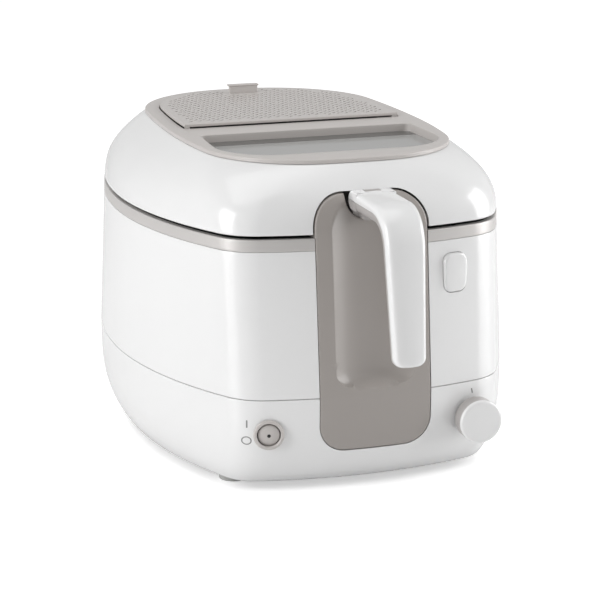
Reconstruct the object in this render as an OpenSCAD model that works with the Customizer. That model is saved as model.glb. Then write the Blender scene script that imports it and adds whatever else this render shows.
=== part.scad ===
// Household deep fryer: fixed bowl in an oval insulated housing, hinged lid with a
// window and a filter, wire basket on a folding front handle, thermostat and switch.
// Millimetres, +Z up, front at -Y, origin on the resting plane under the housing.

/* [Housing] */
// Greatest width of the housing, at the seam between base and body
body_w = 282; // [272:1:292]
// Distance from the origin to the front of that seam
body_front = 178; // [172:1:184]
// Distance from the origin to the back of that seam
body_back = 180; // [174:1:186]
// Width of the housing at the lid seam
rim_w = 271; // [262:1:276]
// Distance from the origin to the front of the lid seam
rim_front = 167; // [162:1:172]
// Distance from the origin to the back of the lid seam
rim_back = 170; // [166:1:174]
// Height of the seam between base and body
base_seam_z = 70.5; // [66:0.5:76]
// Height of the seam between body and lid
lid_seam_z = 180; // [176:1:190]
// Wall thickness of the moulded housing shells
wall = 2.6; // [2:0.1:3.2]
// Height of the bright band round the rim
band_h = 8.2; // [6:0.2:10]
// Height of the feet
foot_h = 6; // [4:0.5:8]
// Radius of a foot
foot_r = 11; // [8:0.5:14]
// Thickness of the bottom plate
floor_t = 2.4; // [2:0.1:4]

/* [Lid] */
// Width of the flat top frame
top_w = 189; // [180:1:196]
// Height of the top frame's upper face
top_z = 226; // [222:1:236]
// Thickness of the top frame
frame_t = 2.8; // [2:0.1:4]
// Width of the top frame beside and behind the filter opening
frame_side = 11; // [10:0.5:16]
// Front edge of the filter opening
filter_front = 4; // [-4:1:10]
// Rise of the filter cover towards the back, in degrees
cover_tilt = 2.2; // [1:0.1:3]
// Half width of the window opening
window_hw = 80; // [70:1:82]
// Thickness of the window pane
pane_t = 3; // [2:0.5:4]

/* [Bowl and basket] */
// Inside half width of the bowl at its mouth
bowl_hx = 98; // [92:1:102]
// Inside half length of the bowl at its mouth
bowl_hy = 122; // [112:1:124]
// Depth of the bowl
bowl_depth = 112; // [100:1:114]
// Sheet thickness of the bowl
bowl_t = 1.4; // [1:0.1:2]
// Gap between the basket and the bowl wall
basket_gap = 13; // [11:1:16]
// Height of the basket
basket_h = 92; // [80:1:94]
// Pitch of the basket mesh
mesh_pitch = 14; // [12:1:18]
// Thickness of the basket wires
wire_d = 2; // [1.8:0.1:2.4]

/* [Handle] */
// Width of the handle at its root
handle_w = 31; // [28:0.5:32]
// Width of the handle at its free end
handle_end_w = 24; // [20:0.5:28]
// Thickness of the handle
handle_t = 14; // [12:0.5:16]
// Length of the straight root in front of the pivot
root_len = 40; // [36:1:46]
// Radius of the elbow on the centre line
elbow_r = 22; // [18:1:26]
// Length of the grip below the elbow
grip_len = 78; // [66:1:84]
// Radius of the pivot pin
pin_r = 2.5; // [2:0.25:3]

/* [Controls] */
// Radius of the thermostat knob
knob_r = 15.4; // [13:0.2:17]
// Height of the knob above the housing
knob_h = 13; // [10:0.5:16]
// Radius of the switch bezel
bezel_r = 10.6; // [9.5:0.1:12]
// Width of the lid button
button_w = 18; // [15:0.5:20]
// Height of the lid button
button_h = 27; // [22:0.5:30]
// Travel of the lid button
button_travel = 4; // [2:0.5:5]

/* [Front panel] */
// Width of the front panel
panel_w = 80; // [74:1:84]
// Height of the panel's top edge
panel_top_z = 206; // [202:1:208]
// Height of the panel's lower edge
panel_low_z = 30; // [26:1:36]
// Width of the hollow in the panel
scoop_w = 58; // [50:1:62]
// Depth of the hollow in the panel
scoop_depth = 9; // [6:0.5:11]
// Height of the lip under the hollow
scoop_low_z = 77; // [70:1:84]

/* [Hidden] */

// Clearance between neighbouring pieces that do not move
fit = 0.3;
// Running clearance between a shaft and its bore
run = 0.05;
white = "whitesmoke";
grey = "silver";
taupe = "gray";
dark = "dimgray";
// Steps along the front, corner and side arc of each quarter of the plan outline
arc_steps = [3, 6, 4];
// Plan outline: half width, front, back, then front, side and corner radii of the
// front half and of the back half
foot_plan = [body_w / 2 - 15, body_front - 21, body_back - 24, 304, 292, 25, 404, 354, 75];
base_plan = [body_w / 2, body_front, body_back, 304, 292, 37, 404, 354, 87];
rim_plan = [rim_w / 2, rim_front, rim_back, 304, 292, 37, 404, 354, 87];
top_plan = [top_w / 2, rim_front - 30, rim_back - 4, 403, 549, 74.5, 402, 942, 84];
frame_z = top_z - frame_t;
// The lid's outer surface ends where the frame rests on it
dome_z = frame_z - fit;

// Centre of the corner arc that joins a front arc and a side arc
function corner(hw, hd, rf, rs, rc) =
    let (f = [0, rf - hd], s = [hw - rs, 0], d = s - f, n = norm(d))
    let (p = rf - rc, q = rs - rc, a = (p * p - q * q + n * n) / (2 * n))
    f + a * d / n + sqrt(max(0.01, p * p - a * a)) * [-d[1], d[0]] / n * (d[1] < 0 ? 1 : -1);

function arc(c, r, a0, a1, steps, first) =
    [for (i = [first:steps]) c + r * [cos(a0 + (a1 - a0) * i / steps), sin(a0 + (a1 - a0) * i / steps)]];

// One quarter of the outline, from the front middle to the side
function quarter(hw, hd, rf, rs, rc) =
    let (f = [0, rf - hd], s = [hw - rs, 0], c = corner(hw, hd, rf, rs, rc))
    let (a = atan2(c[1] - f[1], c[0] - f[0]), b = atan2(c[1] - s[1], c[0] - s[0]))
    concat(arc(f, rf, -90, a, arc_steps[0], 0), arc(c, rc, a, b, arc_steps[1], 1),
        arc(s, rs, b, 0, arc_steps[2], 1));

function flip(pts, sx, sy) = [for (i = [len(pts) - 1:-1:0]) [pts[i][0] * sx, pts[i][1] * sy]];
function drop_ends(pts) = [for (i = [1:len(pts) - 2]) pts[i]];

// The whole outline, anticlockwise from the front middle, moved in by inset
function outline(plan, inset) =
    let (r = [for (i = [3:8]) max(6, plan[i] - inset)])
    let (fr = quarter(plan[0] - inset, plan[1] - inset, r[0], r[1], r[2]))
    let (bk = flip(quarter(plan[0] - inset, plan[2] - inset, r[3], r[4], r[5]), 1, -1))
    let (right = concat(fr, [for (i = [1:len(bk) - 1]) bk[i]]))
    concat(right, drop_ends(flip(right, -1, 1)));

// Moves the housing back so that the origin lies under the middle of the whole model
module placed() { translate([0, mid_y, 0]) children(); }

function mix(a, b, t) = a + (b - a) * t;
function unit(t) = min(1, max(0, t));

// Plan of the outer surface at height z: the base tucks in, the body tapers, the lid domes
function plan_at(z) =
    let (tb = unit((z - foot_h) / (base_seam_z - foot_h)))
    let (tl = unit((z - lid_seam_z) / (dome_z - lid_seam_z)))
    z < base_seam_z ? mix(foot_plan, base_plan, pow(1 - pow(1 - tb, 3.77), 1.04)) :
    z < lid_seam_z ? mix(base_plan, rim_plan, (z - base_seam_z) / (lid_seam_z - base_seam_z)) :
    mix(rim_plan, top_plan, pow(tl, 1.79));

function ring(z, inset) = [for (p = outline(plan_at(z), inset)) [p[0], p[1], z]];
function steps(a, b, n) = [for (i = [0:n]) a + (b - a) * i / n];
function fine(a, b, n) = [for (i = [0:n]) a + (b - a) * (1 - cos(90 * i / n))];
function fade(a, b, n) = [for (i = [0:n]) a + (b - a) * sin(90 * i / n)];

// Side faces between successive rings of n points; the last joins the first if closed
function sides(n, m, closed) =
    [for (k = [0:(closed ? m - 1 : m - 2)], i = [0:n - 1], half = [0, 1])
        let (j = (i + 1) % n, u = ((k + 1) % m) * n, l = k * n)
        half == 0 ? [l + i, u + j, l + j] : [l + i, u + i, u + j]];

module tube(rings) {
    n = len(rings[0]);
    polyhedron([for (r = rings, p = r) p], sides(n, len(rings), true), convexity = 8);
}

module loft(rings) {
    n = len(rings[0]);
    m = len(rings);
    caps = [[for (i = [0:n - 1]) i], [for (i = [n - 1:-1:0]) (m - 1) * n + i]];
    polyhedron([for (r = rings, p = r) p], concat(sides(n, m, false), caps), convexity = 8);
}

// A shell of the outer surface between heights in zs, t thick, starting depth below it
module skin(zs, t, depth = 0) {
    n = len(zs) - 1;
    tube(concat([for (z = zs) ring(z, depth)], [for (i = [n:-1:0]) ring(zs[i], depth + t)]));
}

// A flat piece that follows the outline
module slab(z0, z1, inset, plan_z) {
    translate([0, 0, z0]) linear_extrude(z1 - z0) polygon(outline(plan_at(plan_z), inset));
}

module rounded(w, h, r) { polygon(block(w / 2, h / 2, r)); }

// Rounded rectangle from four arcs, as points
function block(hx, hy, r, n = 6) =
    [for (q = [0:3], i = [0:n])
        let (a = -90 + 90 * q + 90 * i / n, sx = (q == 0 || q == 1) ? 1 : -1, sy = (q == 1 || q == 2) ? 1 : -1)
        [sx * (hx - r) + r * cos(a), sy * (hy - r) + r * sin(a)]];
function level(pts, c, z) = [for (p = pts) [c[0] + p[0], c[1] + p[1], z]];

// Something drawn in the XZ plane, from y0 towards the back
module upright(y0, depth) { translate([0, y0 + depth, 0]) rotate([90, 0, 0]) linear_extrude(depth) children(); }

module rod(a, b, r) {
    d = b - a;
    translate(a) rotate([0, acos(d[2] / norm(d)), atan2(d[1], d[0])]) cylinder(norm(d), r, r, $fn = 24);
}

// ---------------------------------------------------------------- housing
front_y = body_front + 12;
panel_r = 22;
panel_low_r = 14;
band_z = lid_seam_z - 1.1 - band_h;
lid_z = lid_seam_z + 1.3;
ledge_t = 2.4;

// Outline of the front panel, grown all round
module panel_shape(grow) {
    x = panel_w / 2;
    polygon(concat(
        arc([x - panel_low_r, panel_low_z + panel_low_r], panel_low_r + grow, -90, 0, 8, 0),
        arc([x - panel_r, panel_top_z - panel_r], panel_r + grow, 0, 90, 8, 0),
        arc([panel_r - x, panel_top_z - panel_r], panel_r + grow, 90, 180, 8, 0),
        arc([panel_low_r - x, panel_low_z + panel_low_r], panel_low_r + grow, 180, 270, 8, 0)));
}
module panel_hole(grow) { upright(-front_y, 60) panel_shape(grow); }

module base_housing() color(white) placed() difference() {
    skin(fine(foot_h, base_seam_z, 7), wall);
    panel_hole(fit);
    place_knob(-30) cylinder(60, knob_neck_r + 1, knob_neck_r + 1, $fn = 32);
    place_switch(-30) cylinder(60, switch_r + fit, switch_r + fit, $fn = 48);
    translate([gland_x, body_back + 10, gland_z]) rotate([90, 0, 0])
        cylinder(60, gland_r + 0.1, gland_r + 0.1, $fn = 32);
}

module bottom_plate() color(dark) placed() difference() {
    slab(foot_h, foot_h + floor_t, wall + fit, foot_h);
    for (x = [-post, post], y = [-post, post]) translate([x, y + bowl_y, 0])
        cylinder(20, screw_r + 0.1, screw_r + 0.1, $fn = 24);
    for (y = [-60:15:60], x = [-30, 30])
        translate([x, y, 0]) linear_extrude(20) rounded(40, 5, 2.4);
}

foot_x = 84;
foot_y = 116;
module foot_pads() color(grey) placed() for (x = [-foot_x, foot_x], y = [-foot_y, foot_y])
    translate([x, y, 0]) {
        cylinder(foot_h, foot_r - 1, foot_r, $fn = 48);
    }

module body_shell() color(white) placed() difference() {
    union() {
        skin([base_seam_z + 0.4, band_z - fit], wall);
        difference() {
            slab(band_z - fit - ledge_t, band_z - fit, wall - 0.4, band_z - fit);
            slab(0, lid_seam_z, 16, band_z - fit);
        }
    }
    panel_hole(fit);
    place_button(-20) linear_extrude(60) rounded(button_w + 0.8, button_h + 0.8, 6.4);
    latch_space();
    bracket_space(0.2);
}

module trim_band() color(grey) placed() difference() {
    skin([band_z, band_z + band_h], 4.4);
    panel_hole(fit);
    bracket_space(0.2);
}

rim_inset = 4.4 + fit;
module rim_ring() color(dark) placed() difference() {
    slab(band_z, flange_z - 0.1, rim_inset, flange_z);
    translate([0, bowl_y, 0]) linear_extrude(300) polygon(block(bowl_hx + bowl_t + 1, bowl_hy + bowl_t + 1, bowl_r));
    panel_hole(fit);
    latch_space();
    bracket_space(0.2);
}

bowl_y = 8;
bowl_r = 42;
basket_r = 30;
flange_z = lid_seam_z - bowl_t;
flange_w = 8;
seal_t = 2.4;
notch_w = 33;
notch_z = 188;
rest_x = 12;
pivot_y = 3 - rim_front + 1;
pivot_z = 203;
gland_x = -60;
gland_z = 32;
gland_r = 7;

module notch() { upright(-front_y, 60) {
    translate([0, notch_z + notch_w / 2]) circle(notch_w / 2, $fn = 48);
    translate([-notch_w / 2, notch_z + notch_w / 2]) square([notch_w, 40]);
} }

module front_panel() color(taupe) placed() difference() {
    intersection() {
        loft([for (z = concat(fine(foot_h, base_seam_z, 7), fade(lid_seam_z, dome_z, 6))) ring(z, 0)]);
        panel_hole(0);
    }
    loft([for (z = [foot_h - 1, base_seam_z, lid_seam_z, dome_z + 1]) ring(z, 13)]);
    notch();
    // The hollow is part of a trough that follows the lean of the front
    intersection() {
        translate([0, scoop_axis - base_plan[1], base_seam_z]) rotate([-scoop_lean, 0, 0])
            cylinder(400, scoop_curve, scoop_curve, center = true, $fn = 96);
        upright(-front_y, 60) polygon(concat(
            arc([scoop_w / 2 - 12, scoop_low_z + 12], 12, -90, 0, 6, 0),
            [[scoop_w / 2, panel_top_z + 5], [-scoop_w / 2, panel_top_z + 5]],
            arc([12 - scoop_w / 2, scoop_low_z + 12], 12, 180, 270, 6, 0)));
    }
}
scoop_lean = atan((body_front - rim_front) / (lid_seam_z - base_seam_z));
scoop_curve = (scoop_w * scoop_w / 4 + scoop_depth * scoop_depth) / (2 * scoop_depth);
scoop_axis = scoop_depth - scoop_curve + 1;

// ---------------------------------------------------------------- bowl and heating
bowl_low = flange_z + bowl_t - bowl_depth;
module bowl() color(dark) placed() {
    c = [0, bowl_y];
    out = [[bowl_low - bowl_t, -26, 18], [bowl_low + 6, -14, 26], [bowl_low + 22, -8, 32], [flange_z - 6, 0, bowl_r],
        [flange_z, 0, bowl_r], [flange_z, flange_w, bowl_r + flange_w], [flange_z + bowl_t, flange_w, bowl_r + flange_w]];
    in = [[flange_z + bowl_t, -bowl_t, bowl_r - bowl_t], [flange_z - 6, -bowl_t, bowl_r - bowl_t],
        [bowl_low + 22, -8 - bowl_t, 32 - bowl_t], [bowl_low + 7, -14 - bowl_t, 25], [bowl_low, -26 - bowl_t, 17]];
    loft([for (p = concat(out, in)) level(block(bowl_hx + bowl_t + p[1], bowl_hy + bowl_t + p[1], p[2]), c, p[0])]);
}
module rim_seal() color("black") placed() translate([0, bowl_y, flange_z + bowl_t]) linear_extrude(seal_t) difference() {
    polygon(block(bowl_hx + flange_w, bowl_hy + flange_w, bowl_r + flange_w));
    polygon(block(bowl_hx + 3, bowl_hy + 3, bowl_r + 3));
}

element_r = 3.3;
element_z = bowl_low - bowl_t - element_r - fit;
element_ring = 56;
module heating_element() color("dimgray") placed() {
    translate([0, bowl_y, element_z]) rotate_extrude($fn = 64) translate([element_ring, 0]) circle(element_r, $fn = 24);
    for (x = [-14, 14]) translate([x, bowl_y + sqrt(element_ring * element_ring - x * x), element_z - 16])
        cylinder(16, element_r - 0.4, element_r - 0.4, $fn = 24);
}
shield_z = element_z - element_r - 8;
post = 46;
module heat_shield() color("silver") placed() difference() {
    union() {
        translate([0, bowl_y, shield_z]) cylinder(1, 74, 74, $fn = 64);
        for (x = [-post, post], y = [-post, post]) translate([x, y + bowl_y, foot_h + floor_t])
            cylinder(shield_z - foot_h - floor_t + 0.5, 4.5, 4.5, $fn = 32);
    }
    for (x = [-14, 14]) translate([x, bowl_y + sqrt(element_ring * element_ring - x * x), 0])
        cylinder(100, 5, 5, $fn = 24);
    for (x = [-post, post], y = [-post, post]) translate([x, y + bowl_y, 0])
        cylinder(foot_h + 14, screw_r, screw_r, $fn = 24);
}
screw_r = 1.8;
module housing_screws() color("gray") placed() for (x = [-post, post], y = [-post, post])
    translate([x, y + bowl_y, 0]) {
        translate([0, 0, foot_h - 1.8]) cylinder(1.8, 3.4, 3.6, $fn = 32);
        translate([0, 0, foot_h - 0.1]) cylinder(floor_t + 8, screw_r - 0.1, screw_r - 0.1, $fn = 24);
    }
module thermal_cutout() color("silver") placed() translate([0, bowl_y, bowl_low - bowl_t - 6.3]) {
    cylinder(6, 8, 8, $fn = 32);
    translate([-14, -3, 4.8]) cube([28, 6, 1.2]);
}
module terminal_block() color("ivory") placed() translate([-54, 84, foot_h + floor_t]) difference() {
    cube([40, 16, 14]);
    for (i = [0:3]) translate([5 + 10 * i, 8, 5]) cylinder(20, 2.6, 2.6, $fn = 24);
}
module cord_gland() color(dark) placed() translate([gland_x, gland_y, gland_z]) rotate([-90, 0, 0]) difference() {
    union() {
        cylinder(gland_len, gland_r, gland_r, $fn = 48);
        translate([0, 0, gland_len]) cylinder(3, gland_r + 2, gland_r + 1.4, $fn = 48);
    }
    translate([0, 0, -1]) cylinder(gland_len + 6, cord_r, cord_r, $fn = 32);
}
gland_len = 10;
gland_y = 163.6;
cord_r = 3.6;

// ---------------------------------------------------------------- controls
knob_x = 74;
knob_z = 45.5;
knob_y = -body_front + 5.2;
knob_neck_r = 6;
spindle_r = 3;
module place_knob(d) { translate([knob_x, knob_y - d, knob_z]) rotate([90, 0, 0]) children(); }
module thermostat_knob() color(white) placed() place_knob(0) difference() {
    union() {
        cylinder(knob_h - 4, knob_r - 0.6, knob_r - 0.6, $fn = 72);
        translate([0, 0, knob_h - 4]) rotate_extrude($fn = 72) polygon(concat([[0, 0], [knob_r, 0]],
            arc([knob_r - 3, 1], 3, 0, 90, 6, 0), [[0, 4]]));
    }
    translate([0, 0, -1]) cylinder(knob_h - 3, spindle_r, spindle_r, $fn = 32);
    translate([0, 0, -1]) difference() {
        cylinder(knob_h - 4, knob_r - 3, knob_r - 3, $fn = 48);
        cylinder(knob_h, spindle_r + 2, spindle_r + 2, $fn = 32);
    }
}
module knob_spindle() color("silver") placed() place_knob(knob_h - 4 - spindle_len)
    cylinder(spindle_len, spindle_r, spindle_r, $fn = 32);
spindle_len = 40;
module thermostat_body() color("silver") placed() difference() {
    union() {
        translate([knob_x - 13, knob_y + 21, knob_z - 13]) cube([24, 18, 26]);
        place_knob(-22) cylinder(11.6, 8, 8, $fn = 32);
    }
    place_knob(-35) cylinder(40, spindle_r + run, spindle_r + run, $fn = 32);
}
module thermostat_sensor() color("peru") placed() {
    a = [knob_x, knob_y + 39 + fit, knob_z + 8];
    b = [knob_x - 10, knob_y + 70, element_z - element_r - 4];
    c = [30, bowl_y - 28, element_z - element_r - 4];
    d = [30, bowl_y - 28, bowl_low - bowl_t - 2.6 - fit];
    rod(a, b, 1);
    rod(b, c, 1);
    rod(c, d, 1);
    translate(b) sphere(1.3, $fn = 24);
    translate(c) sphere(1.3, $fn = 24);
    translate(d) rotate([0, -90, 0]) cylinder(30, 2.6, 2.6, $fn = 24);
}

switch_x = -74.5;
switch_y = -body_front + 8.4;
switch_z = 47;
switch_r = bezel_r - 1.6;
switch_turn = -14;
rocker_r = 7.4;
rocker_tilt = 6;
module place_switch(d) {
    translate([switch_x, switch_y, switch_z]) rotate([0, 0, switch_turn]) rotate([90, 0, 0])
        translate([0, 0, d]) children();
}
module switch_bezel() color(grey) placed() place_switch(0) difference() {
    union() {
        cylinder(1.6, bezel_r, bezel_r - 0.6, $fn = 64);
        translate([0, 0, -9]) cylinder(9.2, switch_r, switch_r, $fn = 64);
    }
    translate([0, 0, -10]) cylinder(20, rocker_r + 0.7, rocker_r + 0.7, $fn = 64);
}
module switch_body() color(dark) placed() place_switch(-27.3) {
    translate([-6.5, -6.5, 0]) cube([13, 13, 18]);
    for (x = [-4, 4]) translate([x - 0.5, -3, -8]) cube([1, 6, 8.5]);
}
module switch_rocker() color(grey) placed() place_switch(-3.4) rotate([rocker_tilt, 0, 0]) intersection() {
    translate([0, 0, -2.4]) cylinder(7, rocker_r, rocker_r, $fn = 64);
    translate([0, 0, -24.6]) sphere(29, $fn = 96);
}

button_x = 60.5;
button_z = 148;
button_y = -rim_front + 2.6;
button_turn = 11.3;
button_t = 7;
module place_button(d) {
    translate([button_x, button_y, button_z]) rotate([0, 0, button_turn]) rotate([90, 0, 0])
        translate([0, 0, d]) children();
}
module place_latch() { translate([button_x, button_y, 0]) rotate([0, 0, button_turn]) children(); }
module lid_button() color(white) placed() {
    place_button(-button_t) linear_extrude(button_t + 1) rounded(button_w, button_h, 6);
    place_button(-lever_y + stem_gap) cylinder(lever_y - button_t, 3, 3, $fn = 32);
}
lever_y = button_t + button_travel + 2;
stem_gap = 0.8;
lever_t = 3.4;
lever_w = 10;
lever_z = 116;
latch_r = 2;
lever_top = lid_seam_z + 6;
module latch_lever() color(dark) placed() place_latch() difference() {
    union() {
        difference() {
            translate([-lever_w / 2, lever_y, lever_z]) cube([lever_w, lever_t, lever_top - lever_z]);
            translate([lever_w / 2 - 7.4, lever_y - 1, lever_z - 1]) cube([6.8, lever_t + 2, 6.6]);
        }
        translate([-lever_w / 2, lever_y + lever_t / 2, lever_z]) rotate([0, 90, 0]) cylinder(lever_w, 4, 4, $fn = 48);
    }
    translate([-lever_w, lever_y + lever_t / 2, lever_z]) rotate([0, 90, 0])
        cylinder(40, latch_r + run, latch_r + run, $fn = 48);
}
module latch_pin() color("silver") placed() place_latch() translate([-lever_w / 2 - 4, lever_y + lever_t / 2, lever_z])
    rotate([0, 90, 0]) cylinder(lever_w + 8, latch_r, latch_r, $fn = 48);
module latch_bracket() color(grey) placed() place_latch() difference() {
    union() for (s = [-1, 1])
        translate([s > 0 ? lever_w / 2 + fit : -lever_w / 2 - fit - 3, 1, lever_z - 7]) cube([3, 18, 14]);
    translate([-20, lever_y + lever_t / 2, lever_z]) rotate([0, 90, 0])
        cylinder(40, latch_r, latch_r, $fn = 48);
}
module latch_spring() color("silver") placed() place_latch() for (i = [0:2])
    translate([lever_w / 2 - 1.6 - 2.4 * i, lever_y + lever_t / 2, lever_z]) rotate([0, 90, 0])
        rotate_extrude($fn = 32) translate([4.6, 0]) circle(0.5, $fn = 12);
module latch_space() { place_latch() translate([-lever_w / 2 - 1.5, 4, lever_z - 20]) cube([lever_w + 3, 26, 120]); }
catch_t = 2;
module lid_catch() color(grey) placed() place_latch() {
    translate([-lever_w / 2, lever_y - 5, lid_z + 0.6]) cube([lever_w, 5 - fit, catch_t]);
    translate([-lever_w / 2, lever_y - catch_t, lid_z + 0.6])
        cube([lever_w, catch_t - fit, liner_z + 2 + catch_t - lid_z - 0.6]);
    translate([-lever_w / 2 - 5, lever_y - catch_t, liner_z + 2]) cube([lever_w + 10, catch_t - fit, catch_t]);
}

// ---------------------------------------------------------------- lid hinge
hinge_y = 168;
hinge_z = 188;
hinge_r = 3;
knuckle_r = 6.6;
ear_x = 26;
ear_w = 8;
arm_w = 9;
bracket_w = 76;
module bracket_space(grow) {
    translate([-bracket_w / 2 - grow, 150, band_z - fit]) cube([bracket_w + 2 * grow, 60, 60]);
}
module hinge_space() {
    translate([-ear_x - ear_w - arm_w - 3, 148, 100]) cube([2 * (ear_x + ear_w + arm_w + 3), 60, 98.5]);
}
module hinge_bracket() color(white) placed() difference() {
    union() {
        translate([-bracket_w / 2, 152, band_z - fit + 0.3]) cube([bracket_w, 17, 9.3]);
        for (x = [-ear_x - ear_w, ear_x]) translate([x, hinge_y, hinge_z]) {
            rotate([0, 90, 0]) cylinder(ear_w, knuckle_r, knuckle_r, $fn = 48);
            translate([0, -knuckle_r, band_z - hinge_z + 4]) cube([ear_w, 2 * knuckle_r, hinge_z - band_z - 4]);
        }
    }
    translate([-100, hinge_y, hinge_z]) rotate([0, 90, 0]) cylinder(200, hinge_r, hinge_r, $fn = 48);
    translate([-100, 100, 0]) linear_extrude(band_z + 4.2) translate([0, 69.2]) square([200, 40]);
}
module hinge_pins() color("silver") placed() for (x = [-ear_x - ear_w - arm_w, ear_x])
    translate([x, hinge_y, hinge_z]) rotate([0, 90, 0]) cylinder(ear_w + arm_w, hinge_r, hinge_r, $fn = 48);
module lid_arms() color(dark) placed() for (s = [-1, 1]) mirror([s < 0 ? 1 : 0, 0, 0])
    translate([ear_x + ear_w + fit, hinge_y, hinge_z]) difference() {
        union() {
            rotate([0, 90, 0]) cylinder(arm_w, knuckle_r, knuckle_r, $fn = 48);
            translate([0, -30, liner_z + 2 - hinge_z]) cube([arm_w, 30, hinge_z + knuckle_r - liner_z - 2]);
        }
        translate([-1, 0, 0]) rotate([0, 90, 0]) cylinder(arm_w + 5, hinge_r + run, hinge_r + run, $fn = 48);
    }

// ---------------------------------------------------------------- lid
module lid_shell() color(white) placed() difference() {
    skin(fade(lid_z, dome_z, 7), wall);
    panel_hole(1.4);
    hinge_space();
}
liner_t = 2;
liner_in = wall + 0.8;
liner_z = flange_z + bowl_t + seal_t + fit;
liner_top = lid_seam_z + 26;
module lid_liner() color(dark) placed() difference() {
    union() {
        skin(fade(liner_z, liner_top, 3), liner_t, liner_in);
        difference() {
            slab(liner_z + 0.3, liner_z + 2, liner_in + 0.8, liner_z);
            above(liner_z - 1, 5) translate([0, bowl_y]) polygon(block(bowl_hx + 2, bowl_hy + 2, bowl_r + 2));
        }
        difference() {
            slab(liner_top - 1.2, liner_top - 0.1, liner_in + 0.2, liner_top);
            above(liner_top - 4, 9) window_shape(-lip);
            above(liner_top - 4, 9) filter_shape(-lip);
        }
    }
    panel_hole(1.4);
    translate([-16, -200, 0]) cube([32, 110, panel_top_z + 1.4]);
    place_latch() translate([-lever_w / 2 - 1.5, 4, 0]) cube([lever_w + 3, 26, lever_top + 1.5]);
    hinge_space();
}
well_t = 2;
lip = 4;
function window_points(g) = concat(
    arc([window_hw - 38, -70], 40 + g, -90, -3, 8, 0), [[window_hw + g, -24 + g], [-window_hw - g, -24 + g]],
    arc([38 - window_hw, -70], 40 + g, 183, 270, 8, 0));
// The filter opening follows the frame's back edge; its front corners are broken by a small cut
corner_cut = 0.5;
function filter_points(g) =
    let (o = outline(top_plan, frame_side - g), front = filter_front - g)
    let (k = [for (p = o) if (p[1] > filter_front + 14) p], r = k[0][0], l = k[len(k) - 1][0])
    concat([[l + corner_cut, front], [r - corner_cut, front], [r, front + corner_cut]], k,
        [[l, front + corner_cut]]);
module window_shape(g) polygon(window_points(g));
module filter_shape(g) polygon(filter_points(g));
module above(z, h) { translate([0, 0, z]) linear_extrude(h) children(); }
window_low = frame_z - 9;
filter_low = frame_z - 17;
module top_frame() color(grey) placed() difference() {
    union() {
        slab(frame_z, top_z, 0, dome_z);
        above(window_low, 9.5) window_shape(well_t);
        above(filter_low, 17.5) filter_shape(well_t);
    }
    above(window_low + 1.6, 40) window_shape(0);
    above(window_low - 1, 40) window_shape(-lip);
    above(filter_low + 1.6, 40) filter_shape(0);
    above(filter_low - 1, 40) filter_shape(-lip);
    translate([-filter_hw - well_t + 0.2, cover_y, cover_z]) rotate([0, 90, 0])
        cylinder(2 * (filter_hw + well_t - 0.2), cover_pin_r + run, cover_pin_r + run, $fn = 32);
}
gasket_t = 1.4;
module window_gasket() color("black") placed() translate([0, 0, window_low + 1.6]) linear_extrude(gasket_t)
    difference() { window_shape(-fit); window_shape(-lip); }
module window_pane() color("lightblue", 0.4) placed() translate([0, 0, window_low + 1.6 + gasket_t])
    linear_extrude(pane_t) window_shape(-fit);
module filter_tray() color(dark) placed() translate([0, 0, filter_low + 1.6]) {
    linear_extrude(1.6) difference() {
        filter_shape(-fit);
        for (x = [-40, 0, 40], y = [filter_front + 28:28:filter_back - 22])
            translate([x, y]) square([30, 18], center = true);
    }
    linear_extrude(10) difference() { filter_shape(-fit); filter_shape(-fit - 1.6); }
}
module foam_filter() color("ivory") placed() translate([0, 0, filter_low + 3.5])
    linear_extrude(4) filter_shape(-fit - 2.2);
module carbon_filter() color("black") placed() translate([0, 0, filter_low + 7.8])
    linear_extrude(4) filter_shape(-fit - 2.2);

cover_y = filter_front + 4;
// Half width of the filter opening at the cover's hinge
filter_hw = filter_points(0)[2][0];
filter_back = rim_back - 4 - frame_side;
cover_z = top_z - 2;
cover_pin_r = 1.5;
cover_t = 2.2;
slot_rows = 9;
slot_columns = 11;
module filter_cover() color(grey) placed() {
    intersection() {
        translate([0, cover_y - 2, top_z + 0.4]) rotate([cover_tilt, 0, 0]) translate([0, 2 - cover_y, 0])
            linear_extrude(cover_t) difference() {
                filter_shape(-0.4);
                for (i = [0:slot_columns - 1], j = [0:slot_rows - 1])
                    translate([(i - (slot_columns - 1) / 2) * 13 + (j % 2) * 6 - 3, filter_front + 16 + j * 12.5])
                        rotate(32) square([7.4, 1.6], center = true);
            }
        translate([-200, cover_y - 1, 0]) cube([400, 400, 400]);
    }
    // Lifting tab at the back
    translate([0, 132, top_z + 5.2]) rotate([cover_tilt + 6, 0, 0]) linear_extrude(3) rounded(26, 9, 3);
    for (s = [-1, 1]) mirror([s < 0 ? 1 : 0, 0, 0]) {
        translate([filter_hw - 5.4, cover_y - 2, cover_z - 2]) cube([4.8, 4, 5]);
        translate([filter_hw - 3, cover_y, cover_z]) rotate([0, 90, 0])
            cylinder(4.6, cover_pin_r, cover_pin_r, $fn = 32);
    }
}

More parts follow.
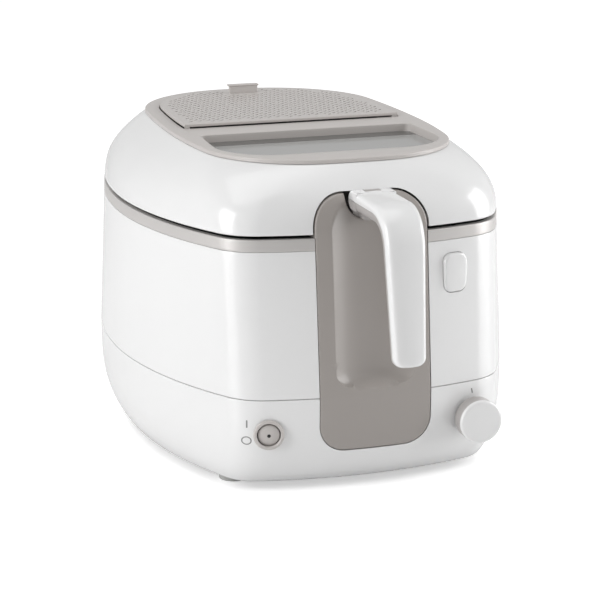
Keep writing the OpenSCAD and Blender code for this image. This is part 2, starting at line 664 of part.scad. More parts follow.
// ---------------------------------------------------------------- basket and handle
basket_hx = bowl_hx - basket_gap;
basket_hy = bowl_hy - basket_gap;
basket_z = bowl_low + 12;
basket_top = basket_z + basket_h;
function basket_points(g) = block(basket_hx + g, basket_hy + g, basket_r + g);
module basket_floor() color("silver") placed() translate([0, bowl_y, basket_z]) linear_extrude(wire_d) difference() {
    polygon(basket_points(-wire_d - 0.2));
    intersection() {
        for (i = [-8:8], j = [-9:9]) translate([i * mesh_pitch, j * mesh_pitch])
            square(mesh_pitch - wire_d, center = true);
        polygon(block(basket_hx - 8, basket_hy - 8, basket_r - 8));
    }
}
module basket_walls() color("silver") placed() difference() {
    translate([0, bowl_y, basket_z]) linear_extrude(basket_h - 4) difference() {
        polygon(basket_points(0));
        polygon(basket_points(-wire_d));
    }
    for (i = [-3:3], k = [0:4]) translate([i * mesh_pitch, bowl_y, basket_z + 16 + k * mesh_pitch])
        cube([mesh_pitch - wire_d, 400, mesh_pitch - wire_d], center = true);
    for (j = [-5:5], k = [0:4]) translate([0, bowl_y + j * mesh_pitch, basket_z + 16 + k * mesh_pitch])
        cube([400, mesh_pitch - wire_d, mesh_pitch - wire_d], center = true);
}
module basket_rim() color("silver") placed() translate([0, bowl_y, basket_top - 3.8]) linear_extrude(3.8) difference() {
    polygon(basket_points(1));
    polygon(basket_points(-wire_d - 1));
}
knuckle_w = 11;
tongue_r = 6.6;
bracket_top = 196;
module basket_bracket() color(grey) placed() difference() {
    union() {
        translate([-rest_x, bowl_y - basket_hy - 4.2, basket_top - 26])
            cube([2 * rest_x, 3, bracket_top - basket_top + 26]);
        // The tongue lies in the round bottom of the notch
        intersection() {
            union() {
                translate([-rest_x + 2, pivot_y + 8, notch_z])
                    cube([2 * rest_x - 4, bowl_y - basket_hy - pivot_y - 10, bracket_top - notch_z]);
                translate([-knuckle_w / 2, pivot_y, notch_z])
                    cube([knuckle_w, 10, bracket_top + 2 - notch_z]);
            }
            upright(-front_y, 200) translate([0, notch_z + notch_w / 2]) circle(notch_w / 2 - fit, $fn = 48);
        }
        translate([-knuckle_w / 2, pivot_y, pivot_z]) rotate([0, 90, 0]) cylinder(knuckle_w, tongue_r, tongue_r, $fn = 48);
    }
    translate([-50, pivot_y, pivot_z]) rotate([0, 90, 0]) cylinder(100, pin_r + run, pin_r + run, $fn = 48);
}

bend = 82;
// Centre line of the handle: distance out, height and direction at a length along it
function spine(s) =
    let (b = elbow_r * bend * PI / 180, a = 180 / PI * unit((s - root_len) / b) * b / elbow_r)
    let (e = max(0, s - root_len - b), r = min(s, root_len))
    [pivot_y - r - elbow_r * sin(a) - e * cos(a), pivot_z - elbow_r * (1 - cos(a)) - e * sin(a), a];
handle_len = root_len + elbow_r * bend * PI / 180 + grip_len;
// A section across the handle between two heights above its centre line
function section(s, low, high, trim) =
    let (p = spine(s), t = unit((s - root_len) / (handle_len - root_len)))
    let (w = mix(handle_w, handle_end_w, t) - trim, r = (high - low) * 0.42)
    [for (q = block(w / 2, (high - low) / 2, r, 4))
        let (h = q[1] + (high + low) / 2) [q[0], p[0] - h * sin(p[2]), p[1] + h * cos(p[2])]];
front_reach = -min([for (s = [handle_len - 6, handle_len - 2])
    min([for (p = section(s, 0.2, handle_t / 2, 0)) p[1]])]);
mid_y = (front_reach - body_back) / 2;
// Lengths along the centre line at which the handle's sections stand
lengths = concat([7], steps(root_len, handle_len - grip_len, 7), steps(handle_len - 50, handle_len - 6, 2));
module handle_cover() color(white) placed() loft([for (s = concat(lengths, [handle_len - 2, handle_len]))
    section(s, 0.2, handle_t / 2 - (s > handle_len - 1 ? 2.5 : 0), s > handle_len - 1 ? 6 : s > handle_len - 3 ? 2 : 0)]);
module handle_grip() color(grey) placed() difference() {
    union() {
        loft([for (s = concat(lengths, [handle_len - 3])) section(s, -handle_t / 2, 0, s > handle_len - 4 ? 5 : 2)]);
        for (s = [-1, 1]) mirror([s < 0 ? 1 : 0, 0, 0]) translate([knuckle_w / 2 + fit, pivot_y, pivot_z]) {
            rotate([0, 90, 0]) cylinder(handle_w / 2 - knuckle_w / 2 - 1.5, tongue_r, tongue_r, $fn = 48);
            translate([0, -10, -6]) cube([handle_w / 2 - knuckle_w / 2 - 1.5, 10, 6]);
        }
    }
    translate([-50, pivot_y, pivot_z]) rotate([0, 90, 0]) cylinder(100, pin_r, pin_r, $fn = 48);
}
module handle_pin() color("silver") placed() translate([-handle_w / 2 + 1.4, pivot_y, pivot_z]) rotate([0, 90, 0])
    cylinder(handle_w - 2.8, pin_r, pin_r, $fn = 48);

base_housing();
bottom_plate();
foot_pads();
body_shell();
trim_band();
rim_ring();
rim_seal();
front_panel();
bowl();
heating_element();
heat_shield();
thermostat_body();
thermostat_sensor();
thermal_cutout();
terminal_block();
cord_gland();
switch_bezel();
switch_body();
hinge_bracket();
hinge_pins();
latch_bracket();
latch_pin();
housing_screws();
basket_floor();
basket_walls();
basket_rim();
basket_bracket();
handle_cover();
handle_grip();
handle_pin();
lid_shell();
lid_liner();
top_frame();
window_pane();
window_gasket();
filter_tray();
foam_filter();
carbon_filter();
lid_catch();
lid_arms();
filter_cover();
lid_button();
latch_lever();
latch_spring();
switch_rocker();
thermostat_knob();
knob_spindle();
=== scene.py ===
import math
import bmesh
import bpy
import numpy as np
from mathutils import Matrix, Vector
from mathutils.bvhtree import BVHTree
from mathutils.geometry import delaunay_2d_cdt


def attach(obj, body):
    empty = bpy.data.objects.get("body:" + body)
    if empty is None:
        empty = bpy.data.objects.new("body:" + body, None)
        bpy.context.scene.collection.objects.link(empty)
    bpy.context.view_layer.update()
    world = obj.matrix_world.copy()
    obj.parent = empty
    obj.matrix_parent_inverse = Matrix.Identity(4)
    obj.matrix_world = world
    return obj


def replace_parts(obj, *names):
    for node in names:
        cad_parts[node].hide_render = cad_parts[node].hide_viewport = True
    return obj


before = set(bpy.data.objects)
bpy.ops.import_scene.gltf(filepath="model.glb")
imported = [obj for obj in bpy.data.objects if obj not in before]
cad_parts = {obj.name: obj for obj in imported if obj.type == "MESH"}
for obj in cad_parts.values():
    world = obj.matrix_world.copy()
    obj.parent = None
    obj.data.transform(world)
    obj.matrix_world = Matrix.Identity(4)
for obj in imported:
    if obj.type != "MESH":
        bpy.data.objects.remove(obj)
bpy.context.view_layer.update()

# Shapes are written in the CAD model's millimetres. Its y plus MID is the frame's y, in metres.
MID = 0.0311475

# ---------------------------------------------------------------- camera, floor and light
YAW, PITCH = math.radians(18.36), math.radians(15.21)
EYE = (-0.4738, -1.452 + MID, 0.5021)
LENS, SENSOR, FAR = 123.7, 36.0, 20
PURE = (1, 1, 1, 1)
AMBIENT, FLOOR_GLOW = 0.54, 0.52
FLOOR_TONE, FLAG_TONE = (0.93, 0.93, 0.93, 1), (0.12, 0.12, 0.12, 1)
# Where the dark flag begins and ends, and where it is darkest, as shares from left to right
FLAG_ENDS, FLAG_CORE = (0.36, 0.64), (0.43, 0.54)
# Name, place, aim and size in metres, and power in watts
LAMPS = (("left", (-2.1, -0.5, 0.9), (0, 0, 0.12), (1.0, 1.8), 26),
         ("right", (2.1, -0.5, 0.7), (0, 0, 0.1), (1.4, 1.6), 33),
         ("top", (-0.2, 0.1, 2.0), (0, 0, 0.1), (1.6, 1.6), 8))


def make_camera():
    data = bpy.data.cameras.new("camera")
    data.lens = LENS
    data.sensor_width = SENSOR
    data.clip_end = FAR
    cam = bpy.data.objects.new("camera", data)
    bpy.context.collection.objects.link(cam)
    cam.location = EYE
    cam.rotation_euler = (math.pi / 2 - PITCH, 0, -YAW)
    bpy.context.scene.camera = cam
    bpy.context.scene.view_settings.view_transform = "Standard"


def area_lamp(name, spot, aim, size, power):
    data = bpy.data.lights.new(name, "AREA")
    data.shape = "RECTANGLE"
    data.size, data.size_y = size
    data.energy = power
    lamp = bpy.data.objects.new(name, data)
    lamp.location = spot
    lamp.rotation_euler = (Vector(aim) - Vector(spot)).to_track_quat("-Z", "Y").to_euler()
    bpy.context.collection.objects.link(lamp)


def white_backdrop(nodes, links, ambient):
    """Camera rays and rays through glass see plain white; the object's light is left alone."""
    path = nodes.new("ShaderNodeLightPath")
    most = nodes.new("ShaderNodeMath")
    most.operation = "MAXIMUM"
    links.new(path.outputs["Is Camera Ray"], most.inputs[0])
    links.new(path.outputs["Is Transmission Ray"], most.inputs[1])
    plain = nodes.new("ShaderNodeBackground")
    plain.inputs["Color"].default_value = PURE
    plain.inputs["Strength"].default_value = 1.0
    mix = nodes.new("ShaderNodeMixShader")
    links.new(most.outputs[0], mix.inputs["Fac"])
    links.new(ambient.outputs[0], mix.inputs[1])
    links.new(plain.outputs[0], mix.inputs[2])
    return mix


def dark_flag(nodes, links):
    """The ambient colour, with a dark flag in front of the object for its gloss to show."""
    sky = nodes.new("ShaderNodeTexCoord")
    split = nodes.new("ShaderNodeSeparateXYZ")
    links.new(sky.outputs["Generated"], split.inputs[0])
    flag = nodes.new("ShaderNodeValToRGB")
    for k, place in enumerate(FLAG_ENDS):
        flag.color_ramp.elements[k].position = place
        flag.color_ramp.elements[k].color = PURE
    for place in FLAG_CORE:
        flag.color_ramp.elements.new(place).color = FLAG_TONE
    half = nodes.new("ShaderNodeMath")
    half.operation = "MULTIPLY_ADD"
    half.inputs[1].default_value = 0.5
    half.inputs[2].default_value = 0.5
    links.new(split.outputs["X"], half.inputs[0])
    links.new(half.outputs[0], flag.inputs["Fac"])
    ahead = nodes.new("ShaderNodeMapRange")
    ahead.inputs["From Min"].default_value = -0.2
    ahead.inputs["From Max"].default_value = 0.2
    links.new(split.outputs["Y"], ahead.inputs["Value"])
    behind = nodes.new("ShaderNodeMix")
    behind.data_type = "RGBA"
    behind.inputs["B"].default_value = PURE
    links.new(ahead.outputs["Result"], behind.inputs["Factor"])
    links.new(flag.outputs["Color"], behind.inputs["A"])
    return behind.outputs["Result"]


def make_world():
    world = bpy.data.worlds.new("studio")
    bpy.context.scene.world = world
    world.use_nodes = True
    nodes, links = world.node_tree.nodes, world.node_tree.links
    ambient = nodes["Background"]
    ambient.inputs["Strength"].default_value = AMBIENT
    links.new(dark_flag(nodes, links), ambient.inputs["Color"])
    mix = white_backdrop(nodes, links, ambient)
    links.new(mix.outputs[0], nodes["World Output"].inputs["Surface"])


def make_floor():
    """A pale floor that looks white to the camera and keeps the object's shadow."""
    verts = [(x, y, 0) for x, y in ((-3, -3), (3, -3), (3, 4), (-3, 4))]
    mesh = bpy.data.meshes.new("floor")
    mesh.from_pydata(verts, [], [(0, 1, 2, 3)])
    floor = bpy.data.objects.new("floor", mesh)
    bpy.context.collection.objects.link(floor)
    mat = bpy.data.materials.new("floor")
    mat.use_nodes = True
    nodes, links = mat.node_tree.nodes, mat.node_tree.links
    bsdf = nodes["Principled BSDF"]
    bsdf.inputs["Base Color"].default_value = FLOOR_TONE
    bsdf.inputs["Roughness"].default_value = 0.32
    bsdf.inputs["Specular IOR Level"].default_value = 0.35
    glow = nodes.new("ShaderNodeEmission")
    glow.inputs["Color"].default_value = PURE
    glow.inputs["Strength"].default_value = FLOOR_GLOW
    both = nodes.new("ShaderNodeAddShader")
    path = nodes.new("ShaderNodeLightPath")
    pick = nodes.new("ShaderNodeMixShader")
    links.new(path.outputs["Is Camera Ray"], pick.inputs["Fac"])
    links.new(bsdf.outputs[0], both.inputs[0])
    links.new(glow.outputs[0], both.inputs[1])
    links.new(bsdf.outputs[0], pick.inputs[1])
    links.new(both.outputs[0], pick.inputs[2])
    links.new(pick.outputs[0], nodes["Material Output"].inputs["Surface"])
    mesh.materials.append(mat)


make_camera()
make_world()
make_floor()
for lamp_data in LAMPS:
    area_lamp(*lamp_data)

# ---------------------------------------------------------------- plan outline and housing surface
# The CAD model's plans: half width, front and back depth, then the front, side and corner radii
# of the front half and of the back half
FOOT = [126, 157, 156, 304, 292, 25, 404, 354, 75]
BASE = [141, 178, 180, 304, 292, 37, 404, 354, 87]
RIM = [135.5, 167, 170, 304, 292, 37, 404, 354, 87]
TOP = [94.5, 137, 166, 403, 549, 74.5, 402, 942, 84]
# Heights of the feet's top, the base's seam, the lid's seam, the top frame and the crown
FOOT_Z, SEAM_Z, LID_SEAM, FRAME_Z, TOP_Z = 6.0, 70.5, 180.0, 223.2, 226.0
DOME_Z = FRAME_Z - 0.3
BAND_LOW, BAND_H = 170.7, 8.2
LID_Z = 181.3
# Powers of the curves by which the base tucks in and the lid domes
TUCK, TUCK_EASE, DOME = 3.77, 1.04, 1.79
MIN_R = 6
# Steps along the front, corner and side arc of a quarter
FINE = (14, 26, 16)


def arc(c, r, a0, a1, n, first=0):
    """Points of an arc about c from a0 to a1 degrees, in n steps, from step first on."""
    step = math.radians(a1 - a0) / n
    start = math.radians(a0)
    return [(c[0] + r * math.cos(start + i * step), c[1] + r * math.sin(start + i * step))
            for i in range(first, n + 1)]


def quarter_centres(hw, hd, rf, rs, rc):
    """Centres of a quarter's front, side and corner arcs, each arc tangent to the next."""
    f, s = (0, rf - hd), (hw - rs, 0)
    d = (s[0] - f[0], s[1] - f[1])
    n = math.hypot(*d)
    p, q = rf - rc, rs - rc
    a = (p * p - q * q + n * n) / (2 * n)
    h = math.sqrt(max(0.01, p * p - a * a)) * (1 if d[1] < 0 else -1)
    return f, s, (f[0] + (a * d[0] - h * d[1]) / n, f[1] + (a * d[1] + h * d[0]) / n)


def quarter(hw, hd, rf, rs, rc):
    f, s, c = quarter_centres(hw, hd, rf, rs, rc)
    t0 = math.degrees(math.atan2(c[1] - f[1], c[0] - f[0]))
    t1 = math.degrees(math.atan2(c[1] - s[1], c[0] - s[0]))
    return arc(f, rf, -90, t0, FINE[0]) + arc(c, rc, t0, t1, FINE[1], 1) + arc(s, rs, t1, 0, FINE[2], 1)


def outline(plan, inset=0.0):
    """A plan's closed outline, moved inwards by inset."""
    r = [max(MIN_R, v - inset) for v in plan[3:]]
    front = quarter(plan[0] - inset, plan[1] - inset, *r[:3])
    back = [(x, -y) for x, y in reversed(quarter(plan[0] - inset, plan[2] - inset, *r[3:]))]
    right = front + back[1:]
    return right + [(-x, y) for x, y in reversed(right)][1:-1]


def blend_plan(a, b, t):
    return [p + (q - p) * t for p, q in zip(a, b)]


def plan_at(z):
    if z < SEAM_Z:
        t = min(1, max(0, (z - FOOT_Z) / (SEAM_Z - FOOT_Z)))
        return blend_plan(FOOT, BASE, (1 - (1 - t) ** TUCK) ** TUCK_EASE)
    if z < LID_SEAM:
        return blend_plan(BASE, RIM, (z - SEAM_Z) / (LID_SEAM - SEAM_Z))
    t = min(1, max(0, (z - LID_SEAM) / (DOME_Z - LID_SEAM)))
    return blend_plan(RIM, TOP, t ** DOME)


def ring(z, inset=0.0):
    return [(x, y, z) for x, y in outline(plan_at(z), inset)]


def front_y(x, z):
    """The housing's front face at x and z."""
    hw, hd, _, rf, rs, rc = plan_at(z)[:6]
    f, _, c = quarter_centres(hw, hd, rf, rs, rc)
    x = abs(x)
    edge = f[0] + rf * (c[0] - f[0]) / (rf - rc)
    if x <= edge:
        return f[1] - math.sqrt(rf * rf - x * x)
    return c[1] - math.sqrt(max(0.0, rc * rc - (x - c[0]) ** 2))


# ---------------------------------------------------------------- mesh building
WELD = 1e-6
# How near in metres, and how nearly parallel, a cut mesh lies to the surface that gives its normals
SAME_GAP, SAME_WAY, NEAR_WAY = 4e-4, 0.9, 0.5


def make(name, verts, faces, mat, body, angle=None):
    """A mesh piece from millimetre points: smooth but for edges sharper than angle, or flat."""
    mesh = bpy.data.meshes.new(name)
    mesh.from_pydata([(x / 1000, y / 1000 + MID, z / 1000) for x, y, z in verts], [], faces)
    mesh.validate()
    obj = bpy.data.objects.new(name, mesh)
    bpy.context.collection.objects.link(obj)
    tidy_mesh(mesh)
    if angle is not None:
        mesh.shade_smooth()
        mesh.set_sharp_from_angle(angle=math.radians(angle))
    if mat:
        mesh.materials.append(mat)
    if body:
        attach(obj, body)
    return obj


def tidy_mesh(mesh):
    bm = bmesh.new()
    bm.from_mesh(mesh)
    bmesh.ops.remove_doubles(bm, verts=bm.verts, dist=WELD)
    bmesh.ops.recalc_face_normals(bm, faces=bm.faces)
    bm.to_mesh(mesh)
    bm.free()


def strip(n, rows, closed=False):
    """Faces between rows of n points each; closed joins the last row to the first."""
    faces = []
    for k in range(rows if closed else rows - 1):
        lo, hi = k * n, ((k + 1) % rows) * n
        faces += [(lo + i, lo + (i + 1) % n, hi + (i + 1) % n, hi + i) for i in range(n)]
    return faces


def tube(name, rings, mat, body, angle=35):
    """A closed ring-shaped body: the last ring joins the first."""
    points = [p for r in rings for p in r]
    return make(name, points, strip(len(rings[0]), len(rings), True), mat, body, angle)


def loft(name, rings, mat, body, angle=35):
    """A solid body through rings, closed by a face at each end."""
    n, m = len(rings[0]), len(rings)
    faces = strip(n, m) + [tuple(reversed(range(n))), tuple((m - 1) * n + i for i in range(n))]
    return make(name, [p for r in rings for p in r], faces, mat, body, angle)


def steps(a, b, n):
    return [a + (b - a) * i / n for i in range(n + 1)]


def lip(z, way, r):
    """Rings round a shell's edge at z; way is 1 at a lower edge and -1 at an upper one."""
    return [ring(z + way * r * (1 - math.cos(a)), r * (1 - math.sin(a)))
            for a in (0.0, 0.4, 0.8, 1.2, math.pi / 2)]


def shell(z0, z1, n, thick, low_r, high_r, ease=lambda t: t):
    """Rings of a housing shell with rounded lips at both edges."""
    span = z1 - high_r - z0 - low_r
    side = [ring(z0 + low_r + span * ease(t)) for t in steps(0, 1, n)[1:-1]]
    return [ring(z1, thick), ring(z0, thick)] + lip(z0, 1, low_r) + side + lip(z1, -1, high_r)[::-1]


def cut(obj, cutters):
    """Boolean difference, with the surface's own smooth normals kept on what is left."""
    ref = obj.data.copy()
    for cutter in cutters:
        mod = obj.modifiers.new("cut", "BOOLEAN")
        mod.operation = "DIFFERENCE"
        mod.solver = "EXACT"
        mod.object = cutter
    deps = bpy.context.evaluated_depsgraph_get()
    made = bpy.data.meshes.new_from_object(obj.evaluated_get(deps))
    obj.modifiers.clear()
    obj.data = made
    for cutter in cutters:
        bpy.data.objects.remove(cutter)
    carry_normals(made, ref)


def carry_normals(mesh, ref):
    """Corner normals of mesh: ref's where it lies on ref, and flat on the cut faces."""
    verts = [v.co.copy() for v in ref.vertices]
    polys = [tuple(p.vertices) for p in ref.polygons]
    tree = BVHTree.FromPolygons(verts, polys)
    corner_of = {}
    for p in ref.polygons:
        for li in p.loop_indices:
            corner_of[(p.index, ref.loops[li].vertex_index)] = ref.corner_normals[li].vector.copy()
    out = [None] * len(mesh.loops)
    mesh.shade_smooth()
    for p in mesh.polygons:
        _, normal, index, gap = tree.find_nearest(p.center)
        on = index is not None and gap < SAME_GAP and normal.dot(p.normal) > SAME_WAY
        for li in p.loop_indices:
            if not on:
                out[li] = p.normal
                continue
            co = mesh.vertices[mesh.loops[li].vertex_index].co
            near, facing, face, _ = tree.find_nearest(co)
            if face is None or facing.dot(p.normal) < NEAR_WAY:
                near, face = co, index
            total = Vector((0, 0, 0))
            for vi in polys[face]:
                total += corner_of[(face, vi)] * (1.0 / ((verts[vi] - near).length + 1e-6))
            out[li] = total.normalized()
    mesh.normals_split_custom_set(out)


def prism_faces(n):
    """Faces of a straight form between two loops of n points."""
    sides = [(i, (i + 1) % n, n + (i + 1) % n, n + i) for i in range(n)]
    return [tuple(reversed(range(n))), tuple(range(n, 2 * n))] + sides


def prism(points, y0, y1):
    """A cutter from points (x, z), between y0 and y1."""
    verts = [(x, y0, z) for x, z in points] + [(x, y1, z) for x, z in points]
    return make("cutter", verts, prism_faces(len(points)), None, None)


def block(hx, hy, r, n=8):
    """The loop of a rounded rectangle."""
    pts = []
    for q, (sx, sy) in enumerate(((1, -1), (1, 1), (-1, 1), (-1, -1))):
        pts += arc((sx * (hx - r), sy * (hy - r)), r, -90 + 90 * q, 90 * q, n)
    return pts


# ---------------------------------------------------------------- materials
# Scale of the broad unevenness, spread of the gloss about its value, and depth of the grain in metres
BROAD, GLOSS_LOW, GLOSS_HIGH, GRAIN_DEPTH = 9.0, 0.88, 1.14, 0.0004


def plastic(name, colour, rough, coat=0.0, grain=900.0, bump=0.02, vary=0.03,
            metal=0.0, sheen=0.0, ior=1.5):
    """Moulded material: fine grain in the surface, slight unevenness of colour and gloss."""
    mat = bpy.data.materials.new(name)
    mat.use_nodes = True
    nodes, links = mat.node_tree.nodes, mat.node_tree.links
    bsdf = nodes["Principled BSDF"]
    bsdf.inputs["Metallic"].default_value = metal
    bsdf.inputs["IOR"].default_value = ior
    bsdf.inputs["Coat Weight"].default_value = coat
    bsdf.inputs["Coat Roughness"].default_value = 0.08
    bsdf.inputs["Sheen Weight"].default_value = sheen
    coord = nodes.new("ShaderNodeTexCoord")
    broad = nodes.new("ShaderNodeTexNoise")
    broad.inputs["Scale"].default_value = BROAD
    broad.inputs["Detail"].default_value = 3.0
    links.new(coord.outputs["Object"], broad.inputs["Vector"])
    ramp = nodes.new("ShaderNodeMix")
    ramp.data_type = "RGBA"
    ramp.inputs["A"].default_value = (*[c * (1 - vary) for c in colour], 1)
    ramp.inputs["B"].default_value = (*[min(1, c * (1 + vary)) for c in colour], 1)
    links.new(broad.outputs["Fac"], ramp.inputs["Factor"])
    links.new(ramp.outputs["Result"], bsdf.inputs["Base Color"])
    fine = nodes.new("ShaderNodeTexNoise")
    fine.inputs["Scale"].default_value = grain
    fine.inputs["Detail"].default_value = 2.0
    links.new(coord.outputs["Object"], fine.inputs["Vector"])
    gloss = nodes.new("ShaderNodeMapRange")
    gloss.inputs["To Min"].default_value = max(0.02, rough * GLOSS_LOW)
    gloss.inputs["To Max"].default_value = min(1, rough * GLOSS_HIGH)
    links.new(fine.outputs["Fac"], gloss.inputs["Value"])
    links.new(gloss.outputs["Result"], bsdf.inputs["Roughness"])
    raised = nodes.new("ShaderNodeBump")
    raised.inputs["Strength"].default_value = bump
    raised.inputs["Distance"].default_value = GRAIN_DEPTH
    links.new(fine.outputs["Fac"], raised.inputs["Height"])
    links.new(raised.outputs["Normal"], bsdf.inputs["Normal"])
    return mat


def brushed(name, colour, rough, scale, metal=1.0):
    """Metal with its grain stretched into fine lines: scale is the grain's along x, y and z."""
    mat = plastic(name, colour, rough, metal=metal, vary=0.04)
    nodes, links = mat.node_tree.nodes, mat.node_tree.links
    coord = next(n for n in nodes if n.type == "TEX_COORD")
    stretch = nodes.new("ShaderNodeMapping")
    stretch.inputs["Scale"].default_value = scale
    links.new(coord.outputs["Object"], stretch.inputs["Vector"])
    for n in nodes:
        if n.type == "TEX_NOISE" and n.inputs["Scale"].default_value > 100:
            n.inputs["Scale"].default_value = 1.0
            links.new(stretch.outputs["Vector"], n.inputs["Vector"])
    return mat


WHITE = plastic("white_gloss", (0.82, 0.82, 0.82), 0.22, coat=0.35, grain=700, bump=0.012, vary=0.008,
                ior=1.7)
TAUPE = plastic("taupe_gloss", (0.36, 0.332, 0.312), 0.34, coat=0.12, grain=800, bump=0.015, vary=0.015)
FRAME = plastic("warm_grey", (0.55, 0.52, 0.50), 0.34, coat=0.1, grain=1500, bump=0.05, vary=0.015)
GREY = plastic("light_grey", (0.42, 0.40, 0.39), 0.36, grain=1200, bump=0.05, vary=0.02)
BAND = brushed("satin_band", (0.60, 0.58, 0.565), 0.38, (1400, 1400, 20), 0.35)
DARK = plastic("black_moulded", (0.030, 0.030, 0.031), 0.48, grain=1800, bump=0.12, vary=0.06)
RUBBER = plastic("seal_rubber", (0.028, 0.028, 0.028), 0.72, grain=1100, bump=0.2, vary=0.1, sheen=0.1)
FOOT_RUBBER = plastic("foot_rubber", (0.50, 0.50, 0.49), 0.7, bump=0.2, vary=0.05)
COATING = plastic("bowl_coating", (0.055, 0.055, 0.057), 0.36, grain=2400, bump=0.25, vary=0.10, metal=0.3)
CHROME = brushed("basket_chrome", (0.72, 0.72, 0.73), 0.16, (500, 500, 500))
STEEL = brushed("turned_steel", (0.58, 0.58, 0.59), 0.28, (900, 40, 40))
SHEET = brushed("sheet_steel", (0.66, 0.66, 0.67), 0.34, (40, 700, 700))
ELEMENT = plastic("element_sheath", (0.16, 0.155, 0.15), 0.42, grain=600, bump=0.2, vary=0.2, metal=0.8)
COPPER = plastic("capillary", (0.72, 0.38, 0.24), 0.3, grain=500, bump=0.1, vary=0.12, metal=1.0)
CERAMIC = plastic("terminal_plastic", (0.80, 0.76, 0.64), 0.5, grain=700, bump=0.1, vary=0.04)
FOAM = plastic("open_foam", (0.78, 0.74, 0.62), 0.95, grain=380, bump=1.0, vary=0.12, sheen=0.2)
CARBON = plastic("carbon_felt", (0.035, 0.035, 0.036), 0.95, grain=520, bump=1.0, vary=0.3, sheen=0.2)
PRINT = plastic("grey_print", (0.24, 0.24, 0.24), 0.5)
SHADE = plastic("shade_print", (0.13, 0.125, 0.12), 0.3)
# Near-black for painted shade on the floor of the switch's bore, and for the rocker's dark dot
SHADE_AND_DOT_BLACK = plastic("painted_shade_and_dot_black", (0.012, 0.012, 0.012), 0.6, bump=0.05, vary=0.1)
GLASS = plastic("window_glass", (0.50, 0.50, 0.49), 0.06, grain=500, bump=0.004, vary=0.02)
GLASS.node_tree.nodes["Principled BSDF"].inputs["Alpha"].default_value = 0.78

# The CAD nodes that keep their own shape, and what each is made of
FINISH = {
    "bottom_plate": DARK, "foot_pads": FOOT_RUBBER, "rim_ring": DARK, "rim_seal": RUBBER,
    "bowl": COATING, "heating_element": ELEMENT, "heat_shield": SHEET, "thermostat_body": SHEET,
    "thermostat_sensor": COPPER, "thermal_cutout": SHEET, "terminal_block": CERAMIC,
    "cord_gland": DARK, "switch_body": DARK, "hinge_bracket": WHITE, "hinge_pins": STEEL,
    "latch_bracket": DARK, "latch_pin": STEEL, "housing_screws": STEEL, "basket_rim": CHROME,
    "basket_bracket": GREY, "handle_pin": STEEL, "lid_liner": DARK, "window_pane": GLASS,
    "window_gasket": RUBBER, "filter_tray": DARK, "foam_filter": FOAM, "carbon_filter": CARBON,
    "lid_catch": DARK, "lid_arms": DARK, "latch_lever": DARK, "latch_spring": STEEL,
    "knob_spindle": STEEL}
for node, mat in FINISH.items():
    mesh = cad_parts[node].data
    mesh.materials.clear()
    mesh.materials.append(mat)

# ---------------------------------------------------------------- housing shells
PANEL_HW, PANEL_TOP, PANEL_LOW, PANEL_R, PANEL_LOW_R = 40.0, 206.0, 32.0, 22.0, 19.0
CORNER_STEPS = 14
WALL, BAND_WALL, PANEL_GAP, LID_GAP = 2.6, 4.4, 0.35, 1.4
# Where something sits on the front: its centre, and its turn about the vertical in degrees
BUTTON = ((60.5, -RIM[1] + 2.6, 148), 11.3)
SWITCH = ((-74.5, -BASE[1] + 8.4, 47), -14)
KNOB = ((74, -BASE[1] + 5.2, 45.5), 0)
# Openings: radii of the knob's and the switch's, half sizes and corner of the button's, the cord
# gland's, and low and high corners of the hinge's in the band and in the lid
KNOB_HOLE, SWITCH_HOLE, BUTTON_HOLE = 7.0, 9.3, (9.4, 13.9, 6.6)
GLAND_X, GLAND_Z, GLAND_HALF = -60, 32, 7.1
BAND_OPENING = (-38.2, 150, 150), (38.2, 210, 230)
LID_OPENING = (-46, 148, 100), (46, 208, 198.5)
# Reach of the cutters in front of the housing, behind the panel, and behind it in the lid
AHEAD, BEHIND, LID_BEHIND = -220, -130, -100


def panel_points(grow):
    """The front panel's outline (x, z), grown by a gap."""
    x, n = PANEL_HW, CORNER_STEPS
    return (arc((x - PANEL_LOW_R, PANEL_LOW + PANEL_LOW_R), PANEL_LOW_R + grow, -90, 0, n)
            + arc((x - PANEL_R, PANEL_TOP - PANEL_R), PANEL_R + grow, 0, 90, n)
            + arc((PANEL_R - x, PANEL_TOP - PANEL_R), PANEL_R + grow, 90, 180, n)
            + arc((PANEL_LOW_R - x, PANEL_LOW + PANEL_LOW_R), PANEL_LOW_R + grow, 180, 270, n))


def panel_cutter(gap, back=BEHIND):
    return prism(panel_points(gap), AHEAD, back)


def placed(points, c, turn):
    """Points (x, z, out) of something on the front, turned about the vertical."""
    t = math.radians(turn)
    return [(c[0] + x * math.cos(t) + out * math.sin(t), c[1] + x * math.sin(t) - out * math.cos(t), c[2] + z)
            for x, z, out in points]


def plug(points, c, turn, d0, d1):
    """A cutter at a place on the front, from d0 behind it to d1 before it."""
    verts = placed([(x, z, d0) for x, z in points] + [(x, z, d1) for x, z in points], c, turn)
    return make("cutter", verts, prism_faces(len(points)), None, None)


def dish(r, n=64):
    """The loop of a circle."""
    return arc((0, 0), r, 0, 360, n)[:-1]


def box_cutter(a, b):
    (x0, y0, z0), (x1, y1, z1) = a, b
    return prism([(x0, z0), (x1, z0), (x1, z1), (x0, z1)], y0, y1)


def tuck_ease(t):
    return 1 - math.cos(t * math.pi / 2)


def dome_ease(t):
    return math.sin(t * math.pi / 2)


